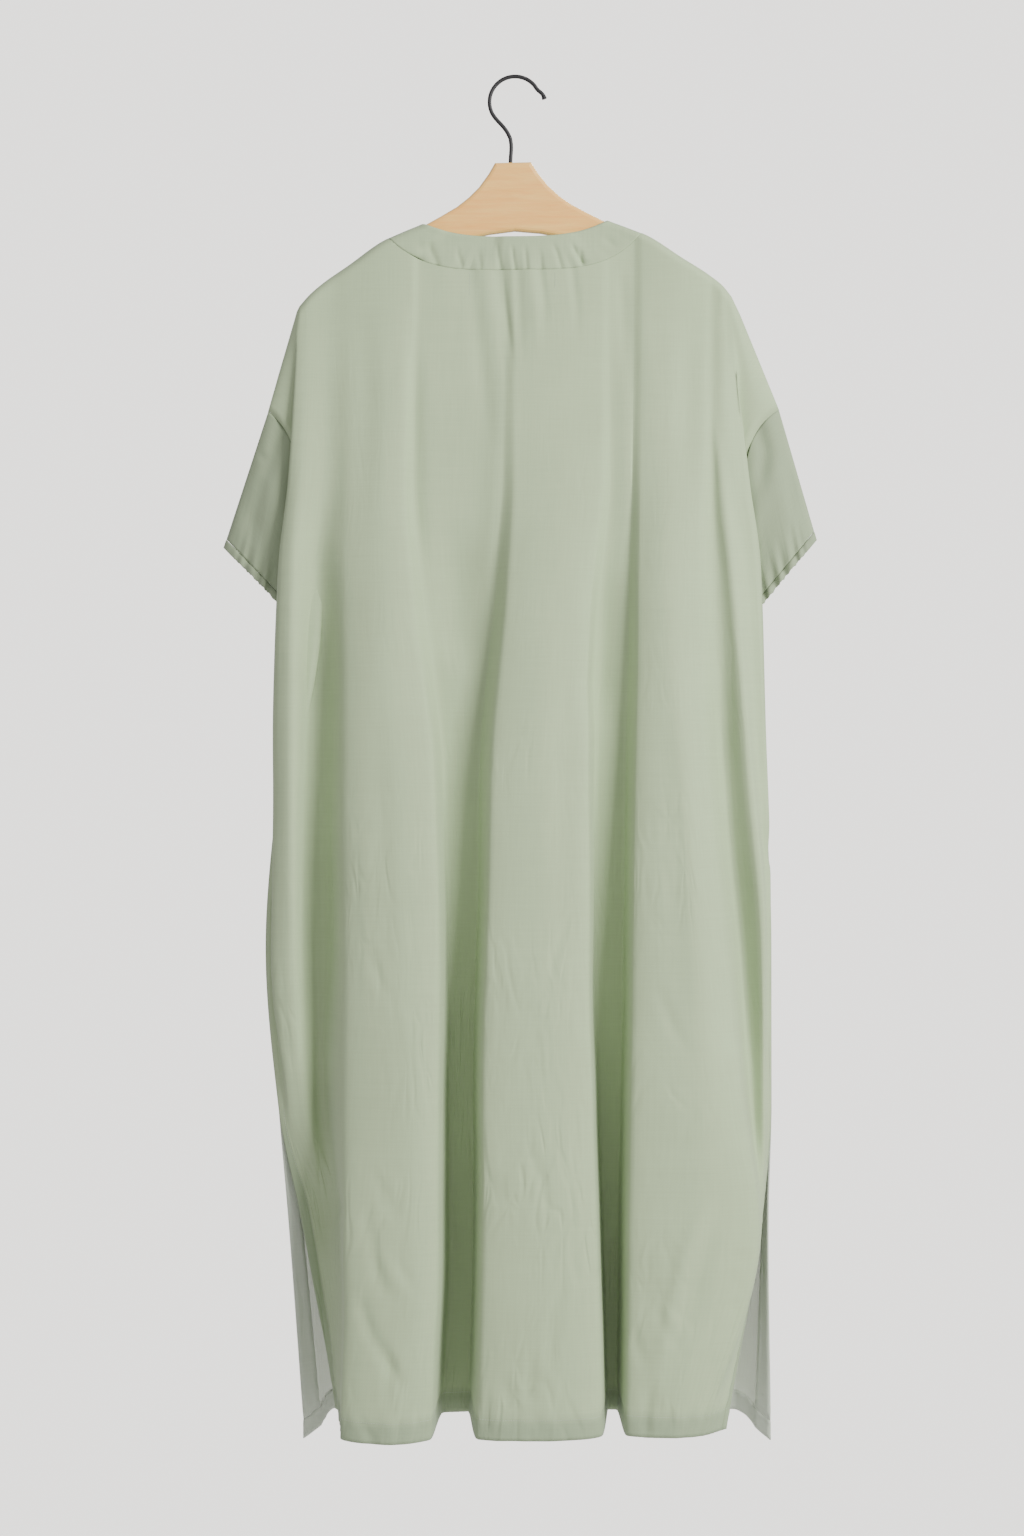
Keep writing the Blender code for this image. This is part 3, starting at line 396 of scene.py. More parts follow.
def hemDrops(panel, cuts):
    across, depth = (v[0] for v in levelSections(panel, cuts, stations[-1:]))
    if panel["facing"] < 0:
        row = hemLine["back"]
        leftward = np.clip(-across / row["leftReach"], 0, 1)
        return row["drop"] - row["perDepth"] * depth + row["leftDip"] * leftward
    row = hemLine["front"]
    edge = np.minimum(cuts - panel["cuts"][0], panel["cuts"][-1] - cuts)
    corner = np.maximum(0, 1 - edge / row["cornerReach"])
    return row["drop"] + row["cornerDip"] * corner ** row["bend"]


# Columns spaced by the cloth's own length, so the flanks of the folds get as many as the rest
def panelColumns(panel, count):
    fine = np.linspace(panel["cuts"][0], panel["cuts"][-1], 3000)
    x, y = levelSections(panel, fine, stations)
    length = np.concatenate([[0], np.cumsum(np.hypot(np.diff(x), np.diff(y)).mean(axis=0))])
    even = np.interp(np.linspace(0, length[-1], count), length, fine)
    facings = [panel["cuts"][0] + dress["slitFacing"], panel["cuts"][-1] - dress["slitFacing"]]
    bandEnds = np.array([120, 123, 125, 126.2, 127, 128]) * mm
    bandEnds = np.concatenate([-bandEnds[::-1], bandEnds])
    inner = abs(fine) < 200 * mm
    extra = list(np.interp(bandEnds, x[0][inner], fine[inner])) + facings
    closest = 1.2 * mm
    kept = [c for c in even if min(abs(c - e) for e in extra) > closest]
    return np.array(sorted(kept + extra))


def panelDrops(panel, cuts, bodyRows, skirtRows):
    top, hem = threadTops(panel, cuts)[2], hemDrops(panel, cuts)
    shoulder = [0, 0.0006, 0.0015, 0.003, 0.0048, 0.007, 0.0095, 0.0125, 0.016, 0.02]
    body = np.concatenate([shoulder, np.linspace(0.025, 1, bodyRows)])[:, None]
    skirt = np.linspace(0, 1, skirtRows + 1)[1:, None]
    turned = np.linspace(0, 1, 6)[1:, None]
    slit, hemTop = dress["slitDrop"], hem - dress["hemDepth"]
    drops = np.concatenate([
        top + (slit - top) * body, slit + (hemTop - slit) * skirt, hemTop + (hem - hemTop) * turned
    ])
    return drops, len(body) - 1, len(body) + skirtRows - 1


# Unit normals of a grid of points, on its +Y side where it hangs flat
def gridNormals(points):
    across = np.gradient(points, axis=1)
    down = np.gradient(points, axis=0)
    normal = np.cross(across, down)
    normal /= np.maximum(np.linalg.norm(normal, axis=-1, keepdims=True), 1e-12)
    return normal if normal[..., 1].sum() > 0 else -normal


# Where the camera sees each point: across and drop, in the plane of the hanger
def seenFrom(points):
    x, distance, z = camera["place"][0], -camera["place"][1], camera["place"][2]
    scale = distance / (distance + points[..., 1])
    return x + (points[..., 0] - x) * scale, -(z + (points[..., 2] - z) * scale)


def easeIn(share):
    share = np.clip(share, 0, 1)
    return share * share * (3 - 2 * share)


# Height of all creases at each point, outwards
def creaseHeights(points, creases):
    seenX, seenDrop = seenFrom(points)
    total = np.zeros(seenX.shape)
    for route, width, height, (first, last) in creases.values():
        route = np.array(route, float) * mm
        spans = np.linalg.norm(np.diff(route, axis=0), axis=1)
        starts = np.concatenate([[0], np.cumsum(spans)])
        nearest, along = np.full(seenX.shape, 1e9), np.zeros(seenX.shape)
        for a, b, start, span in zip(route[:-1], route[1:], starts, spans):
            t = ((seenX - a[0]) * (b[0] - a[0]) + (seenDrop - a[1]) * (b[1] - a[1])) / span**2
            t = np.clip(t, 0, 1)
            away = np.hypot(seenX - a[0] - t * (b[0] - a[0]), seenDrop - a[1] - t * (b[1] - a[1]))
            along = np.where(away < nearest, (start + t * span) / starts[-1], along)
            nearest = np.minimum(away, nearest)
        strength = easeIn(along / first) if first else 1
        strength = strength * (easeIn((1 - along) / last) if last else 1)
        total += height * mm * np.exp(-((nearest / (width * mm)) ** 2)) * strength
    return total


# Slow unevenness of hand-finished cloth: size is how far apart its rises are, in metres
def unevenness(u, v, size, height, seed):
    flatU, flatV = (u / size).ravel(), (v / size).ravel()
    values = [noise.noise(Vector((a, b, seed))) for a, b in zip(flatU, flatV)]
    return np.array(values).reshape(u.shape) * height


def addMesh(name, points, uv, material, wall, closed=False, doubled=None):
    rows, columns = points.shape[:2]
    bm = bmesh.new()
    bmesh.ops.create_grid(bm, x_segments=columns - 1, y_segments=rows - 1, size=1)
    mesh = bpy.data.meshes.new(name)
    bm.to_mesh(mesh)
    bm.free()
    flat = np.empty(len(mesh.vertices) * 3)
    mesh.vertices.foreach_get("co", flat)
    i = np.rint((flat[0::3] + 1) / 2 * (columns - 1)).astype(int)
    j = np.rint((flat[1::3] + 1) / 2 * (rows - 1)).astype(int)
    mesh.vertices.foreach_set("co", points[j, i].ravel())
    corner = np.empty(len(mesh.loops), dtype=int)
    mesh.loops.foreach_get("vertex_index", corner)
    mesh.uv_layers.new(name="Threads").data.foreach_set("uv", uv[j, i][corner].ravel())
    layers = mesh.attributes.new("doubled", "FLOAT", "POINT")
    layers.data.foreach_set("value", np.zeros(len(i)) if doubled is None else doubled[j, i])
    if closed:
        bm = bmesh.new()
        bm.from_mesh(mesh)
        bmesh.ops.remove_doubles(bm, verts=bm.verts, dist=1e-6)
        bmesh.ops.recalc_face_normals(bm, faces=bm.faces)
        bm.to_mesh(mesh)
        bm.free()
    mesh.shade_smooth()
    mesh.materials.append(material)
    obj = bpy.data.objects.new(name, mesh)
    bpy.context.scene.collection.objects.link(obj)
    solid = obj.modifiers.new("Cloth thickness", "SOLIDIFY")
    solid.thickness = wall
    solid.offset = 0
    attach(obj, "root")
    return obj


# An input gets a value, or a link where another node's output is given
def fill(node, inputs):
    for key, value in inputs.items():
        if isinstance(value, bpy.types.NodeSocket):
            node.id_data.links.new(value, node.inputs[key])
        else:
            node.inputs[key].default_value = value
    return node


def nodeMaker(tree):
    def add(kind, place, inputs=None, **settings):
        made = tree.nodes.new(kind)
        made.location = place
        for key, value in settings.items():
            setattr(made, key, value)
        return fill(made, inputs or {})

    return add


def maths(add, operation, place, *inputs):
    return add("ShaderNodeMath", place, dict(enumerate(inputs)), operation=operation).outputs[0]


# Stretches fromMin..fromMax of a value to toMin..toMax
def spread(add, place, value, limits, **settings):
    names = ("From Min", "From Max", "To Min", "To Max")
    inputs = {"Value": value, **dict(zip(names, limits))}
    return add("ShaderNodeMapRange", place, inputs, **settings).outputs["Result"]


def newGroup(name, inputs, outputs):
    group = bpy.data.node_groups.new(name, "ShaderNodeTree")
    for label, kind, value in inputs:
        socket = group.interface.new_socket(label, in_out="INPUT", socket_type=kind)
        if value is not None:
            socket.default_value = value
    for label, kind in outputs:
        group.interface.new_socket(label, in_out="OUTPUT", socket_type=kind)
    add = nodeMaker(group)
    return group, add, add("NodeGroupInput", (-1150, 0)), add("NodeGroupOutput", (700, 0))


def newMaterial(name):
    made = bpy.data.materials.new(name)
    made.use_nodes = True
    return made, made.node_tree.nodes["Principled BSDF"], nodeMaker(made.node_tree)


weaveLook = {
    "threadsPerMetre": 1400.0, "threadRelief": 0.25, "slubScale": 620.0, "slubStretch": 0.035,
    "tone": (1.0, 2.0, 0.93, 1.07), "roughness": (0.6, 1.4, 0.78, 0.92),
    "ruckTurns": (0.62, -0.5), "ruckScale": (46, 11, 1), "ruckWidth": 0.1,
    "ruckPatches": (0.42, 0.62, 0.1, 1.0),
    "rucksDownwards": (0.5, 1.0, 0.15, 1.0),   # drops in metres, and how much they ruck there
}


# Plain weave: crossing threads, the thicker places along them, slow changes of tone, fine rucks
def buildWeaveGroup():
    group, add, given, result = newGroup(
        "plainWeave",
        [("Threads", "NodeSocketVector", None), ("Per Metre", "NodeSocketFloat", 1400.0),
         ("Slub", "NodeSocketFloat", 0.5), ("Colour", "NodeSocketColor", (0.5, 0.5, 0.5, 1)),
         ("Doubled Colour", "NodeSocketColor", (0.4, 0.4, 0.4, 1)),
         ("Doubled", "NodeSocketFloat", 0.0)],
        [("Colour", "NodeSocketColor"), ("Height", "NodeSocketFloat"),
         ("Roughness", "NodeSocketFloat"), ("Crumple", "NodeSocketFloat")],
    )
    threads = given.outputs["Threads"]
    thin = weaveLook["slubStretch"]
    slubs = []
    for row, (stretch, offset) in enumerate((((1, thin, 1), 0.0), ((thin, 1, 1), 7.0))):
        drawn = add("ShaderNodeVectorMath", (-650, -250 * row), {0: threads, 1: stretch},
                    operation="MULTIPLY")
        slub = add("ShaderNodeTexNoise", (-430, -250 * row),
                   {"Vector": drawn.outputs[0], "Scale": weaveLook["slubScale"], "Detail": 3.0,
                    "W": offset}, noise_dimensions="4D")
        slubs.append(slub.outputs["Fac"])
    both = maths(add, "ADD", (-200, -80), *slubs)
    slow = add("ShaderNodeTexNoise", (-430, -560), {"Vector": threads, "Scale": 9.0, "Detail": 2.0})
    tone = maths(add, "ADD", (-200, -420), both, slow.outputs["Fac"])
    bright = spread(add, (0, -300), tone, weaveLook["tone"])
    layered = add("ShaderNodeMix", (0, 150),
                  {"Factor": given.outputs["Doubled"], "A": given.outputs["Colour"],
                   "B": given.outputs["Doubled Colour"]}, data_type="RGBA")
    toned = add("ShaderNodeVectorMath", (220, 100),
                {0: layered.outputs["Result"], "Scale": bright}, operation="SCALE")

    parts = add("ShaderNodeSeparateXYZ", (-650, 350), {0: threads})
    crossing = []
    for row, axis in enumerate("XY"):
        high = 400 - 160 * row
        turns = maths(add, "MULTIPLY", (-430, high), parts.outputs[axis],
                      given.outputs["Per Metre"])
        angle = maths(add, "MULTIPLY", (-340, high - 70), turns, math.pi)
        crossing.append(maths(add, "SINE", (-250, high), angle))
    weave = maths(add, "MULTIPLY", (-60, 350), *crossing)
    lumps = maths(add, "MULTIPLY", (0, 0), both, given.outputs["Slub"])
    raised = maths(add, "MULTIPLY_ADD", (100, 330), weave, weaveLook["threadRelief"], lumps)

    # Each ruck follows the middle line of a stretched noise, where its value is a half
    offLine = []
    for row, turn in enumerate(weaveLook["ruckTurns"]):
        high = 900 - 260 * row
        lay = add("ShaderNodeMapping", (-900, high),
                  {"Vector": threads, "Rotation": (0, 0, turn), "Scale": weaveLook["ruckScale"],
                   "Location": (3.1 * row, 0, 0)})
        ruck = add("ShaderNodeTexNoise", (-700, high),
                   {"Vector": lay.outputs["Vector"], "Scale": 1.0, "Detail": 1.5,
                    "Distortion": 0.3})
        away = maths(add, "SUBTRACT", (-500, high), ruck.outputs["Fac"], 0.5)
        offLine.append(maths(add, "ABSOLUTE", (-340, high), away))
    nearest = maths(add, "SMOOTH_MIN", (-180, 800), *offLine, 0.05)
    soft = spread(add, (-20, 800), nearest, (0.0, weaveLook["ruckWidth"], 0.0, 1.0),
                  interpolation_type="SMOOTHSTEP")
    here = add("ShaderNodeTexNoise", (-500, 1150), {"Vector": threads, "Scale": 7.0, "Detail": 1.0})
    often = spread(add, (-180, 1150), here.outputs["Fac"], weaveLook["ruckPatches"])
    lower = spread(add, (-180, 1400), parts.outputs["Y"], weaveLook["rucksDownwards"])
    amount = maths(add, "MULTIPLY", (0, 1150), often, lower)
    crumple = maths(add, "MULTIPLY", (180, 900), soft, amount)
    rough = spread(add, (220, -150), both, weaveLook["roughness"])
    fill(result, {"Colour": toned.outputs[0], "Height": raised, "Roughness": rough,
                  "Crumple": crumple})
    return group


weaveGroup = buildWeaveGroup()

# Colour of one layer and where it is doubled, how closed each face is, and its rucks in mm. The
# back's colours are the cloth's own. The sleeve's are a darker copy, painted shade. The front's and
# the turned edge's are paler copies, painted light, and the front's is palest where doubled.
clothTonesAndPaintedLight = {
    "back": {"colour": (0.42, 0.53, 0.305), "doubled": (0.315, 0.4, 0.24),
             "alpha": 0.94, "crumple": 0.7},
    # The front: a paler copy of the back's colour, painted light, and paler still where doubled at
    # its hem and slit facings, a painted highlight
    "front": {"colour": (0.47, 0.56, 0.38), "doubled": (0.60, 0.68, 0.52),
              "alpha": 0.66, "crumple": 1.2},
    # The sleeve: a darker copy of the back's colour, painted shade
    "sleeve": {"colour": (0.32, 0.4, 0.24), "doubled": (0.285, 0.35, 0.215),
               "alpha": 0.94, "crumple": 1.0},
    # The turned edge: a much paler copy of the cloth's colour, painted light on the facings
    "turned edge": {"colour": (0.64, 0.71, 0.57), "doubled": (0.62, 0.69, 0.55),
                    "alpha": 0.68, "crumple": 0.6},
}


def clothMaterial(name, toneWithPaintedLight):
    made, shader, add = newMaterial(name)
    threads = add("ShaderNodeUVMap", (-900, 0), uv_map="Threads")
    layers = add("ShaderNodeAttribute", (-900, -250), attribute_name="doubled")
    weave = add("ShaderNodeGroup", (-700, 0),
                {"Threads": threads.outputs["UV"], "Doubled": layers.outputs["Fac"],
                 "Per Metre": weaveLook["threadsPerMetre"], "Colour": (*toneWithPaintedLight["colour"], 1),
                 "Doubled Colour": (*toneWithPaintedLight["doubled"], 1)}, node_tree=weaveGroup)
    rucks = add("ShaderNodeBump", (-450, -450),
                {"Height": weave.outputs["Crumple"], "Strength": 0.9,
                 "Distance": toneWithPaintedLight["crumple"] * mm})
    bump = add("ShaderNodeBump", (-250, -250),
               {"Height": weave.outputs["Height"], "Normal": rucks.outputs["Normal"],
                "Strength": 0.35, "Distance": 0.4 * mm})
    fill(shader, {"Base Color": weave.outputs["Colour"], "Roughness": weave.outputs["Roughness"],
                  "Normal": bump.outputs["Normal"], "Sheen Weight": 0.12, "Sheen Roughness": 0.5,
                  "Specular IOR Level": 0.25, "Alpha": toneWithPaintedLight["alpha"]})
    return made


materials = {
    name: clothMaterial("Sheer cotton " + name, toneWithPaintedLight) for name, toneWithPaintedLight in clothTonesAndPaintedLight.items()
}
print("cloth materials made")

# uneven: how far apart in metres its rises are, and their height in mm
panelDetail = {
    "back": {"columns": 214, "bodyRows": 142, "skirtRows": 44, "creases": backCreases,
             "seed": 1.0, "uneven": ((0.11, 2.4), (0.045, 0.7)), "hemPeriod": 19 * mm},
    "front": {"columns": 150, "bodyRows": 110, "skirtRows": 34, "creases": frontCreases,
              "seed": 5.0, "uneven": ((0.12, 3.0), (0.05, 0.8)), "hemPeriod": 21 * mm},
}
# How the stitched lines at hems and slits draw the cloth in
sewnLine = {
    "groove": 1.8 * mm, "pucker": 7 * mm, "hemWave": 0.9 * mm, "hemGroove": 0.7 * mm,
    "slitWave": 0.6 * mm, "slitPeriod": 17 * mm, "slitGroove": 0.6 * mm, "edgeWave": 10 * mm,
}


# A bump along a line, as wide as reach to each side
def bell(away, reach):
    return np.exp(-((away / reach) ** 2))


def buildPanel(name, panel):
    detail = panelDetail[name]
    cuts = panelColumns(panel, detail["columns"])
    drops, slitRow, hemRow = panelDrops(panel, cuts, detail["bodyRows"], detail["skirtRows"])
    points = layThreads(panel, cuts, drops)
    threadU = np.broadcast_to(cuts, drops.shape)
    outward = gridNormals(points) * panel["facing"]
    height = creaseHeights(points, detail["creases"])
    fromSlit = np.minimum(threadU - cuts[0], cuts[-1] - threadU)
    fromTop = easeIn((drops - drops[0]) / dress["calmTop"])
    fromSide = easeIn(fromSlit / dress["calmSide"])
    for k, (size, lift) in enumerate(detail["uneven"]):
        wander = unevenness(threadU, drops * 0.45, size, lift * mm, detail["seed"] + k)
        height += wander * fromTop * fromSide
    fromHem = drops[-1] - drops
    hemStitch = fromHem - dress["hemDepth"]
    phase = unevenness(threadU, drops * 0, 0.06, 3.0, detail["seed"] + 9)
    wave = np.sin(2 * math.pi * threadU / detail["hemPeriod"] + phase) * sewnLine["hemWave"]
    height += wave * bell(hemStitch, sewnLine["pucker"]) * 0.8
    height += wave * 0.4 * np.exp(-fromHem / sewnLine["edgeWave"])
    height -= sewnLine["hemGroove"] * bell(hemStitch, sewnLine["groove"])
    skirt = easeIn((drops - dress["slitDrop"]) / dress["slitStart"])
    slitStitch = fromSlit - dress["slitFacing"]
    slitWave = np.sin(2 * math.pi * drops / sewnLine["slitPeriod"] + phase) * sewnLine["slitWave"]
    slitGroove = sewnLine["slitGroove"] * bell(slitStitch, sewnLine["groove"])
    height += skirt * (slitWave * bell(slitStitch, sewnLine["pucker"]) - slitGroove)
    points = points + outward * height[..., None]
    doubled = np.maximum(easeIn((dress["hemDepth"] - fromHem) / mm + 0.5),
                         skirt * easeIn((dress["slitFacing"] - fromSlit) / mm + 0.5))
    uv = np.stack([threadU, drops], axis=-1)
    piece = addMesh(name + "_cloth", points, uv, materials[name], dress["wall"], doubled=doubled)
    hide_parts(name)
    return {
        "name": name, "panel": panel, "piece": piece, "points": points, "cuts": cuts, "uv": uv,
        "normals": gridNormals(points) * panel["facing"], "slitRow": slitRow, "hemRow": hemRow,
    }


back = buildPanel("back", makePanel(backFolds, -1, dress["backNeckSeam"]))
front = buildPanel("front", makePanel(frontFolds, 1, dress["frontNeckSeam"]))
print("body panels laid")


# Cloth turned in behind a panel, at its hem or along its slits
def turnedEdge(node, built, rows, columns):
    inner = built["points"] - built["normals"] * dress["layerStep"]
    points = inner[rows][:, columns]
    if rows[-1] == built["hemRow"]:
        points[-1] += (points[-2] - points[-1]) * 0.05  # a facing stops just above the hem
    uv = built["uv"][rows][:, columns]
    piece = addMesh(node + "_cloth", points, uv, materials["turned edge"], dress["turnedWall"])
    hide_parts(node)
    return piece


for built in (back, front):
    cuts, name = built["cuts"], built["name"]
    hemRows = np.arange(built["hemRow"], len(built["points"]))
    slitRows = np.arange(built["slitRow"] + 1, built["hemRow"] + 1)
    reach = dress["slitFacing"] + 0.1 * mm
    built["edges"] = [
        turnedEdge(f"hem_{name}", built, hemRows, np.arange(len(cuts))),
        turnedEdge(f"slit_facing_{name}_left", built, slitRows,
                   np.flatnonzero(cuts < cuts[0] + reach)),
        turnedEdge(f"slit_facing_{name}_right", built, slitRows,
                   np.flatnonzero(cuts > cuts[-1] - reach)),
    ]
print("hems and facings turned in")


# Neck edges are drops at the middle. Scoops are the powers by which the edges rise to the sides.
band = {
    "wall": 0.9 * mm, "rows": 19, "rolledEdge": 0.5 * mm, "doubled": 0.2, "creaseFade": 12 * mm,
    "columns": 251, "evenHalf": 118, "endColumns": (121, 123.5, 125, 126),
    "backEdge": 160 * mm, "backScoop": 3, "frontEdge": 236 * mm, "frontScoop": 2.4,
    "frontPuckerDrop": 76,
}


def buildBand(name, built, edgeDrop, scoop, creases):
    panel, half, edgeHalf = built["panel"], dress["bandSeamHalfWidth"], dress["neckEdgeHalfWidth"]
    ends = np.array(band["endColumns"])
    even = np.linspace(-1, 1, band["columns"]) * band["evenHalf"]
    seamX = np.sort(np.concatenate([even, -ends, ends]) * mm)
    row = built["points"][0]
    top = row[abs(row[:, 0]) < half + 2 * mm]
    steepness = np.gradient(top[:, 2], top[:, 0])
    share = seamX / half
    apart = 0.5 * dress["seamGap"] * np.sqrt(1 + np.interp(seamX, top[:, 0], steepness) ** 2)
    seamDrop = -np.interp(seamX, top[:, 0], top[:, 2]) - apart
    seamY = np.interp(seamX, top[:, 0], top[:, 1])
    side = np.where(share > 0, edgeHalf, -edgeHalf)
    neckDrop = edgeDrop + (crestDrop(side) - edgeDrop) * abs(share) ** scoop
    depth = levelSections(panel, seamX * 1.05, stations[:1])[1][0]
    ridge = panel["facing"] * dress["ridgeGap"] / 2
    rows = []
    for b in np.linspace(0, 1, band["rows"]):
        x = seamX + (share * edgeHalf - seamX) * b
        crest = crestDrop(x)
        drop = np.maximum(seamDrop + (neckDrop - seamDrop) * b, crest)
        slope = (crestDrop(x + mm) - crestDrop(x - mm)) / (2 * mm)
        near = np.clip((drop - crest) / np.sqrt(1 + slope**2) / dress["crestRounding"], 0, 1)
        y = ridge + (depth - ridge) * np.sqrt(np.maximum(0, 1 - (1 - near) ** 2))
        y += (seamY - y) * (1 - b) ** 2
        rolled = band["rolledEdge"] * bell(b - 0.93, 0.05)
        rows.append(np.stack([x, y + panel["facing"] * rolled, -drop], axis=-1))
    points = np.array(rows)[::-1]
    outward = gridNormals(points) * panel["facing"]
    height = creaseHeights(points, creases)
    height *= easeIn((half - abs(points[..., 0])) / band["creaseFade"])
    points = points + outward * height[..., None]
    uv = np.stack([points[..., 0], -points[..., 2]], axis=-1)
    doubled = np.full(points.shape[:2], band["doubled"])
    piece = addMesh(name + "_cloth", points, uv, materials["back"], band["wall"], doubled=doubled)
    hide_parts(name)
    return piece


# The same puckers in the other order, as far down as the front neck's band lies
frontBandCreases = {
    name: ([(-x, drop + band["frontPuckerDrop"]) for x, drop in route], *size)
    for name, (route, *size) in bandCreases.items() if name.startswith("pucker")
}
backBand = buildBand("neck_band_back", back, band["backEdge"], band["backScoop"], bandCreases)
frontBand = buildBand("neck_band_front", front, band["frontEdge"], band["frontScoop"],
                      frontBandCreases)
print("neck bands sewn on")


# Points round a sleeve's end, so far beyond the line where the elastic lies
def cuffPlace(sleeve, share, around, beyond):
    corners = (sleeve["cuffTop"], sleeve["cuffBottom"], sleeve["seamTop"])
    top, bottom, seam = (np.array([x, 0, -drop]) * mm for x, drop in corners)
    arm = (top - seam) / np.linalg.norm(top - seam)
    place = top + (bottom - top) * share[:, None] + arm * np.reshape(beyond, (-1, 1))
    outer, inner = sleeve["cuffDepths"]
    middle = (outer + (inner - outer) * share) * mm
    swelling = 2 * np.sqrt(np.maximum(0, share * (1 - share)))
    place[:, 1] = middle + around * cuff["halfThickness"] * swelling
    return place


# The elastic's small gathers round the cuff
def gatherWave(share, angle, seed):
    drawn = np.minimum(1, share / cuff["drawnFrom"])
    uneven = np.array([noise.noise(Vector((a * 2.2, seed, 0))) for a in angle])
    wave = np.sin(cuff["gathers"] * angle + cuff["wander"] * uneven)
    return wave * (1 + 0.8 * uneven) * cuff["gatherHeight"] * drawn * np.sin(angle) ** 2


def buildSleeve(name, sleeve):
    side, perSide = sleeve["side"], sleeveCloth["columnsEachSide"]
    down = np.linspace(0, 1, sleeveCloth["rows"])
    top, under = sleeve["seamTop"][1] * mm, dress["underarmDrop"]
    shares = np.array([0, 0.002, 0.007, 0.0145, 0.03, 0.06, 0.10, 0.145, 0.19])
    marks = np.concatenate([top + (dress["slitDrop"] - top) * shares, [under]])
    around = np.linspace(0, 1, perSide + 1)[1:-1]
    drops = smoothThrough(np.arange(len(marks)) / (len(marks) - 1), marks, around)
    edges, ends = [], []
    for built in (back, front):
        seamCut = built["panel"]["cuts"][[0 if side < 0 else -1]]
        edges.append(layThreads(built["panel"], seamCut, drops[:, None])[:, 0])
        ends.append(layThreads(built["panel"], seamCut, np.array([[top], [under]]))[:, 0])
    crest, armpit = (ends[0] + ends[1]) / 2
    shift = np.array([side * dress["armholeGap"], 0, 0])
    loop = np.concatenate([
        [crest + shift * 0.6 - [0, 0, sleeveCloth["topDip"]]], edges[0] + shift, [armpit + shift],
        edges[1][::-1] + shift
    ])
    loop = np.concatenate([loop, loop[:1]])
    share = np.concatenate([[0], around, [1], around[::-1], [0]])
    facing = np.concatenate([-np.ones(perSide + 1), np.ones(perSide)])
    end = cuffPlace(sleeve, share, facing, -cuff["depth"])
    angle = np.where(facing < 0, np.arccos(1 - 2 * share), 2 * math.pi - np.arccos(1 - 2 * share))
    wave = gatherWave(share, angle, side)
    rows = []
    gathersFrom = sleeveCloth["gathersFrom"]
    for b in down:
        place = loop + (end - loop) * b
        full = sleeveCloth["fullness"] * math.sin(math.pi * b) * np.sin(math.pi * share)
        drawn = max(0.0, (b - gathersFrom) / (1 - gathersFrom)) ** sleeveCloth["gathersBend"]
        place[:, 1] += facing * (full + wave * 0.9 * drawn)
        rows.append(place)
    points = np.array(rows)
    outward = np.zeros_like(points)
    outward[..., 1] = facing
    height = creaseHeights(points, sleeveCreases)
    middle = np.sin(math.pi * share) ** 0.5
    b = down[:, None] * np.ones(len(share))
    roundArm = angle * sleeveCloth["round"] * np.ones(b.shape)
    uneven = unevenness(b * sleeveCloth["length"] + side, roundArm, sleeveCloth["unevenSize"],
                        sleeveCloth["uneven"], sleeveCloth["seed"])
    height = (height + uneven * np.sin(math.pi * b)) * middle
    points = points + outward * height[..., None]
    uv = np.stack([np.broadcast_to(angle * 0.06, b.shape), b * 0.15], axis=-1)
    piece = addMesh(name + "_cloth", points, uv, materials["sleeve"], dress["wall"], closed=True)
    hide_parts(name)
    return piece


def buildCuff(name, sleeve):
    steps = cuff["gathers"] * cuff["columnsEachGather"]
    angle = 2 * math.pi * np.arange(steps + 1) / steps
    angle[-1] = 0
    share = (1 - np.cos(angle)) / 2
    facing = np.where(angle <= math.pi, -1.0, 1.0)
    wave = gatherWave(share, angle, sleeve["side"])
    rows = []
    down = np.linspace(0, 1, cuff["rows"])
    for b in down:
        beyond = cuff["start"] - cuff["depth"] + (cuff["depth"] - cuff["start"]) * b
        place = cuffPlace(sleeve, share, facing, beyond - abs(wave) * 0.8 * b**3)
        swell = cuff["swell"] * math.sin(math.pi * b) - cuff["seamDip"] * bell(b, 0.12)
        place[:, 1] += facing * (wave + swell * np.sin(math.pi * share) ** 0.5)
        rows.append(place)
    points = np.array(rows)
    ones = np.ones(points.shape[:2])
    uv = np.stack([angle * 0.05 * ones, down[:, None] * cuff["depth"] * ones], axis=-1)
    piece = addMesh(name + "_cloth", points, uv, materials["sleeve"], cuff["wall"], closed=True,
                    doubled=cuff["doubled"] * ones)
    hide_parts(name)
    return piece


sleevePieces = [
    (buildSleeve("sleeve_" + side, sleeve), buildCuff("cuff_" + side, sleeve))
    for side, sleeve in sleeves.items()
]
print("sleeves and cuffs built")

stitch = {
    "pitch": 2.6 * mm, "length": 1.9 * mm, "thickness": 0.42 * mm, "lift": 0.45 * mm,
    "dark": (0.44, 0.48, 0.39, 1), "pale": (0.56, 0.60, 0.50, 1),
}


def threadMaterial():
    made, shader, add = newMaterial("Sewing thread")
    place = add("ShaderNodeTexCoord", (-900, 0))
    ply = add("ShaderNodeTexNoise", (-650, 0),
              {"Vector": place.outputs["Object"], "Scale": 900.0, "Detail": 2.0})
    tone = add("ShaderNodeMix", (-400, 0),
               {"A": stitch["dark"], "B": stitch["pale"], "Factor": ply.outputs["Fac"]},
               data_type="RGBA")
    bump = add("ShaderNodeBump", (-400, -250),
               {"Height": ply.outputs["Fac"], "Strength": 0.4, "Distance": 0.2 * mm})
    fill(shader, {"Base Color": tone.outputs["Result"], "Normal": bump.outputs["Normal"],
                  "Roughness": 0.6})
    return made


threadFinish = threadMaterial()


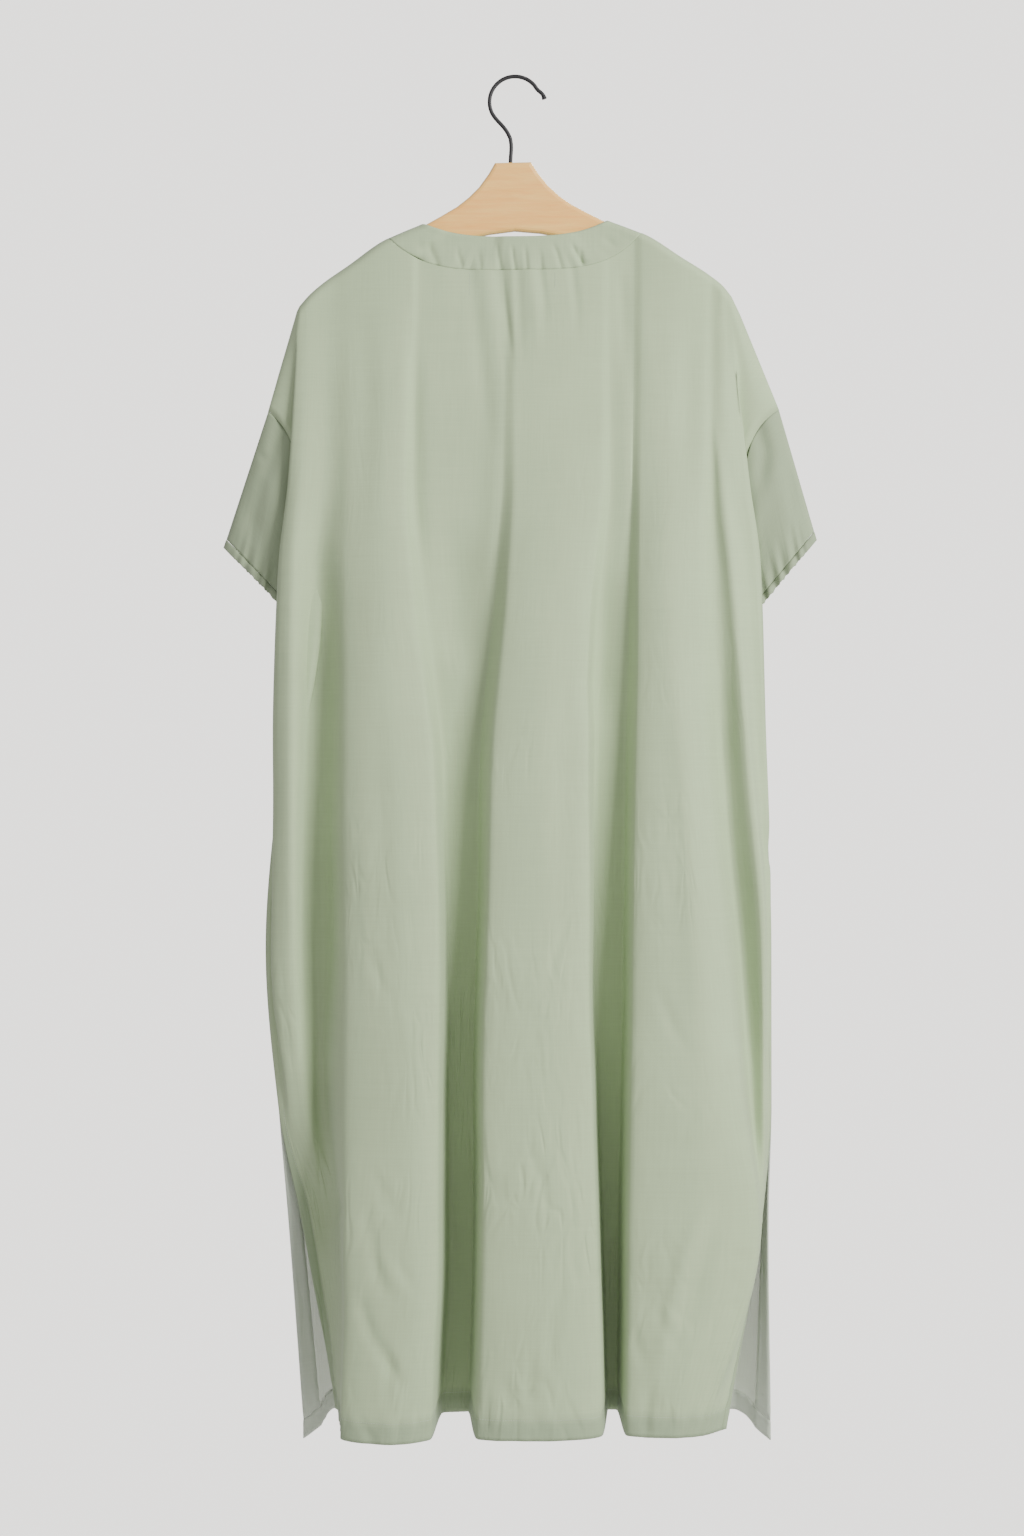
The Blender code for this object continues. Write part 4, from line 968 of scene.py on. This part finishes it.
# Stitches along runs, each a line of points with the cloth's normals there
def sewRuns(name, runs):
    bm = bmesh.new()
    for line, normal in runs:
        length = np.concatenate([[0], np.cumsum(np.linalg.norm(np.diff(line, axis=0), axis=1))])
        for start in np.arange(stitch["pitch"] / 2, length[-1] - stitch["length"], stitch["pitch"]):
            a, b, n = (
                Vector([float(np.interp(at, length, track[:, k])) for k in range(3)])
                for at, track in ((start, line), (start + stitch["length"], line), (start, normal))
            )
            turn = (b - a).to_track_quat("X", "Z").to_matrix().to_4x4()
            thin = stitch["thickness"] / 2
            size = Matrix.Diagonal(((b - a).length / 2, thin, thin, 1))
            middle = Matrix.Translation((a + b) / 2 + n.normalized() * stitch["lift"])
            bmesh.ops.create_icosphere(bm, subdivisions=1, radius=1, matrix=middle @ turn @ size)
    mesh = bpy.data.meshes.new(name)
    bm.to_mesh(mesh)
    bm.free()
    mesh.shade_smooth()
    mesh.materials.append(threadFinish)
    obj = bpy.data.objects.new(name, mesh)
    bpy.context.scene.collection.objects.link(obj)
    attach(obj, "root")
    return obj


# Along the hem and both slit facings
def panelRuns(built):
    points, normals, cuts = built["points"], built["normals"], built["cuts"]
    runs = [(points[built["hemRow"]], normals[built["hemRow"]])]
    for edge in (cuts[0] + dress["slitFacing"], cuts[-1] - dress["slitFacing"]):
        column = int(np.argmin(abs(cuts - edge)))
        rows = slice(built["slitRow"], built["hemRow"])
        runs.append((points[rows, column], normals[rows, column]))
    return runs


# A run where the camera sees this route
def seenRun(built, route):
    seenX, seenDrop = seenFrom(built["points"])
    line, normal = [], []
    for x, drop in route:
        away = np.hypot(seenX - x * mm, seenDrop - drop * mm)
        j, i = np.unravel_index(np.argmin(away), away.shape)
        line.append(built["points"][j, i])
        normal.append(built["normals"][j, i])
    return np.array(line), np.array(normal)


tackRoutes = [
    [(-45.5, 193), (-45.5, 200), (-45, 208), (-46, 216)],
    [(41, 193), (41, 200), (41, 207), (41.5, 214)],
]
tacks = [seenRun(back, route) for route in tackRoutes]
back["sewing"] = sewRuns("stitches_back", panelRuns(back) + tacks)
front["sewing"] = sewRuns("stitches_front", panelRuns(front))
print("stitches sewn")


wood = {
    "grainDark": (0.93, 0.45, 0.1, 1), "grainPale": (1.0, 0.62, 0.17, 1), "grainSpan": (0.3, 0.72),
    "roundedEdge": (1.0, 0.68, 0.24, 1), "grainStretch": (5, 40, 62),
    "poreStretch": (30, 300, 420), "flecks": 0.15,
}


def woodMaterial():
    made, shader, add = newMaterial("Pale beech")
    place = add("ShaderNodeTexCoord", (-1300, 0))
    along = add("ShaderNodeMapping", (-1100, 0),
                {"Vector": place.outputs["Object"], "Scale": wood["grainStretch"]})
    grain = add("ShaderNodeTexNoise", (-880, 100),
                {"Vector": along.outputs["Vector"], "Scale": 3.0, "Detail": 6.0,
                 "Roughness": 0.62, "Distortion": 0.5})
    fine = add("ShaderNodeMapping", (-1100, -350),
               {"Vector": place.outputs["Object"], "Scale": wood["poreStretch"]})
    pores = add("ShaderNodeTexNoise", (-880, -350),
                {"Vector": fine.outputs["Vector"], "Scale": 3.0, "Detail": 3.0})
    tone = add("ShaderNodeValToRGB", (-640, 100), {"Fac": grain.outputs["Fac"]})
    ends = zip(tone.color_ramp.elements, wood["grainSpan"], (wood["grainDark"], wood["grainPale"]))
    for element, position, colour in ends:
        element.position, element.color = position, colour
    flecks = add("ShaderNodeMix", (-380, 60),
                 {"Factor": wood["flecks"], "A": tone.outputs["Color"],
                  "B": pores.outputs["Color"]}, data_type="RGBA", blend_type="MULTIPLY")
    # Paler where the surface turns away from the broad front and back faces, over the rounded edges
    facing = add("ShaderNodeSeparateXYZ", (-880, -620), {0: place.outputs["Normal"]})
    flat = maths(add, "ABSOLUTE", (-700, -620), facing.outputs["Y"])
    rounded = spread(add, (-520, -620), flat, (0.98, 0.55, 0.0, 0.55))
    paleEdges = add("ShaderNodeMix", (-160, 0),
               {"Factor": rounded, "A": flecks.outputs["Result"], "B": wood["roundedEdge"]},
               data_type="RGBA")
    rough = spread(add, (-380, -250), grain.outputs["Fac"], (0.0, 1.0, 0.36, 0.5))
    bump = add("ShaderNodeBump", (-160, -350),
               {"Height": pores.outputs["Fac"], "Strength": 0.2, "Distance": 0.3 * mm})
    fill(shader, {"Base Color": paleEdges.outputs["Result"], "Roughness": rough,
                  "Normal": bump.outputs["Normal"], "Coat Weight": 0.12, "Coat Roughness": 0.3})
    return made


hook = {
    "radius": 25.5 * mm, "wire": 2 * mm, "endBall": 1.3,
    "tip": ((29.5, 3), (28, 7)),              # out and up from the middle of the bend, in mm
    "bend": (30, 216, 12),                    # degrees: first, past the last, step
    "neckDrop": 15 * mm,
    "neck": ((-5, 0), (-2, 5), (0, 10)),      # beside the stem and down, in mm
    "stem": -4.5 * mm, "stemEnd": -84.05 * mm,
    "dark": (0.006, 0.006, 0.006, 1), "pale": (0.012, 0.012, 0.011, 1),
}


def wireMaterial():
    made, shader, add = newMaterial("Black painted wire")
    place = add("ShaderNodeTexCoord", (-900, 0))
    paint = add("ShaderNodeTexNoise", (-680, 0),
                {"Vector": place.outputs["Object"], "Scale": 90.0, "Detail": 2.0})
    tone = add("ShaderNodeMix", (-400, 80),
               {"A": hook["dark"], "B": hook["pale"], "Factor": paint.outputs["Fac"]},
               data_type="RGBA")
    rough = spread(add, (-400, -150), paint.outputs["Fac"], (0.0, 1.0, 0.5, 0.62))
    bump = add("ShaderNodeBump", (-400, -350),
               {"Height": paint.outputs["Fac"], "Strength": 0.05, "Distance": 0.1 * mm})
    fill(shader, {"Base Color": tone.outputs["Result"], "Roughness": rough,
                  "Normal": bump.outputs["Normal"]})
    return made


# One bent wire: its ball end, over the top, round the left and down into the wood
def buildHook():
    middle = Vector((0, 0, hook["wire"] - hook["radius"]))
    route = [middle + Vector((out * mm, 0, up * mm)) for out, up in hook["tip"]]
    for turn in range(*hook["bend"]):
        angle = math.radians(turn)
        route.append(middle + hook["radius"] * Vector((math.cos(angle), 0, math.sin(angle))))
    below = route[-1].z - hook["neckDrop"]
    for side, drop in hook["neck"]:
        route.append(Vector((hook["stem"] + side * mm, 0, below - drop * mm)))
    route.append(Vector((hook["stem"], 0, hook["stemEnd"])))
    curve = bpy.data.curves.new("hook_wire", "CURVE")
    curve.dimensions = "3D"
    curve.bevel_depth, curve.bevel_resolution, curve.resolution_u = hook["wire"], 5, 6
    curve.use_fill_caps = True
    spline = curve.splines.new("BEZIER")
    spline.bezier_points.add(len(route) - 1)
    for point, place in zip(spline.bezier_points, route):
        point.co = place
        point.handle_left_type = point.handle_right_type = "AUTO"
    spline.bezier_points[0].radius = hook["endBall"]
    curve.materials.append(wireMaterial())
    wire = bpy.data.objects.new("hook_wire", curve)
    bpy.context.scene.collection.objects.link(wire)
    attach(wire, "root")
    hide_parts("hanger_hook")


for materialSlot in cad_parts["hanger"].material_slots:
    materialSlot.material = woodMaterial()
buildHook()
print("hanger finished")

# The floor and lights, in metres and watts. The camera sees one background, and another lights.
studio = {
    "floorDrop": 1.9, "floorHalf": 1.4, "floorColour": (0.72, 0.71, 0.70, 1),
    "seen": (2.15, 2.1, 2.02), "ambient": (1.0, 0.95, 1.05), "ambientStrength": 0.66,
    "lights": {
        "key": {"place": (2.0, -2.0, 0.45), "aim": (0.0, 0.0, -0.75), "size": 1.2, "power": 138},
        "farSide": {"place": (1.0, 2.6, 0.5), "aim": (0.0, 0.0, -0.75), "size": 1.4, "power": 55},
    },
}


def floorMaterial():
    made, shader, add = newMaterial("Pale floor")
    place = add("ShaderNodeTexCoord", (-700, 0))
    dust = add("ShaderNodeTexNoise", (-500, 0),
               {"Vector": place.outputs["Object"], "Scale": 6.0, "Detail": 3.0})
    rough = spread(add, (-250, -100), dust.outputs["Fac"], (0.0, 1.0, 0.75, 0.85))
    fill(shader, {"Roughness": rough, "Base Color": studio["floorColour"]})
    return made


def buildStudio():
    bm = bmesh.new()
    bmesh.ops.create_grid(bm, x_segments=1, y_segments=1, size=studio["floorHalf"])
    bmesh.ops.translate(bm, verts=bm.verts, vec=(0, 0, -studio["floorDrop"]))
    mesh = bpy.data.meshes.new("floor")
    bm.to_mesh(mesh)
    bm.free()
    floor = bpy.data.objects.new("floor", mesh)
    bpy.context.scene.collection.objects.link(floor)
    mesh.materials.append(floorMaterial())

    world = bpy.data.worlds.new("Studio")
    world.use_nodes = True
    add = nodeMaker(world.node_tree)
    seen = fill(world.node_tree.nodes["Background"], {"Color": (*studio["seen"], 1)})
    lit = add("ShaderNodeBackground", (0, -200),
              {"Color": (*studio["ambient"], 1), "Strength": studio["ambientStrength"]})
    ray = add("ShaderNodeLightPath", (-200, 200))
    either = add("ShaderNodeMixShader", (200, 0),
                 {0: ray.outputs["Is Camera Ray"], 1: lit.outputs[0], 2: seen.outputs[0]})
    fill(world.node_tree.nodes["World Output"], {"Surface": either.outputs[0]})
    bpy.context.scene.world = world

    for name, row in studio["lights"].items():
        light = bpy.data.lights.new(name, "AREA")
        light.energy, light.size = row["power"], row["size"]
        lamp = bpy.data.objects.new(name, light)
        lamp.location = row["place"]
        direction = Vector(row["aim"]) - Vector(row["place"])
        lamp.rotation_euler = direction.to_track_quat("-Z", "Y").to_euler()
        bpy.context.scene.collection.objects.link(lamp)

    lens = bpy.data.cameras.new("camera")
    lens.lens = camera["lens"]
    lens.sensor_width = camera["sensor"]
    view = bpy.data.objects.new("camera", lens)
    view.location = camera["place"]
    view.rotation_euler = (math.radians(90), 0, 0)
    bpy.context.scene.collection.objects.link(view)
    bpy.context.scene.camera = view


buildStudio()
print("studio lit")
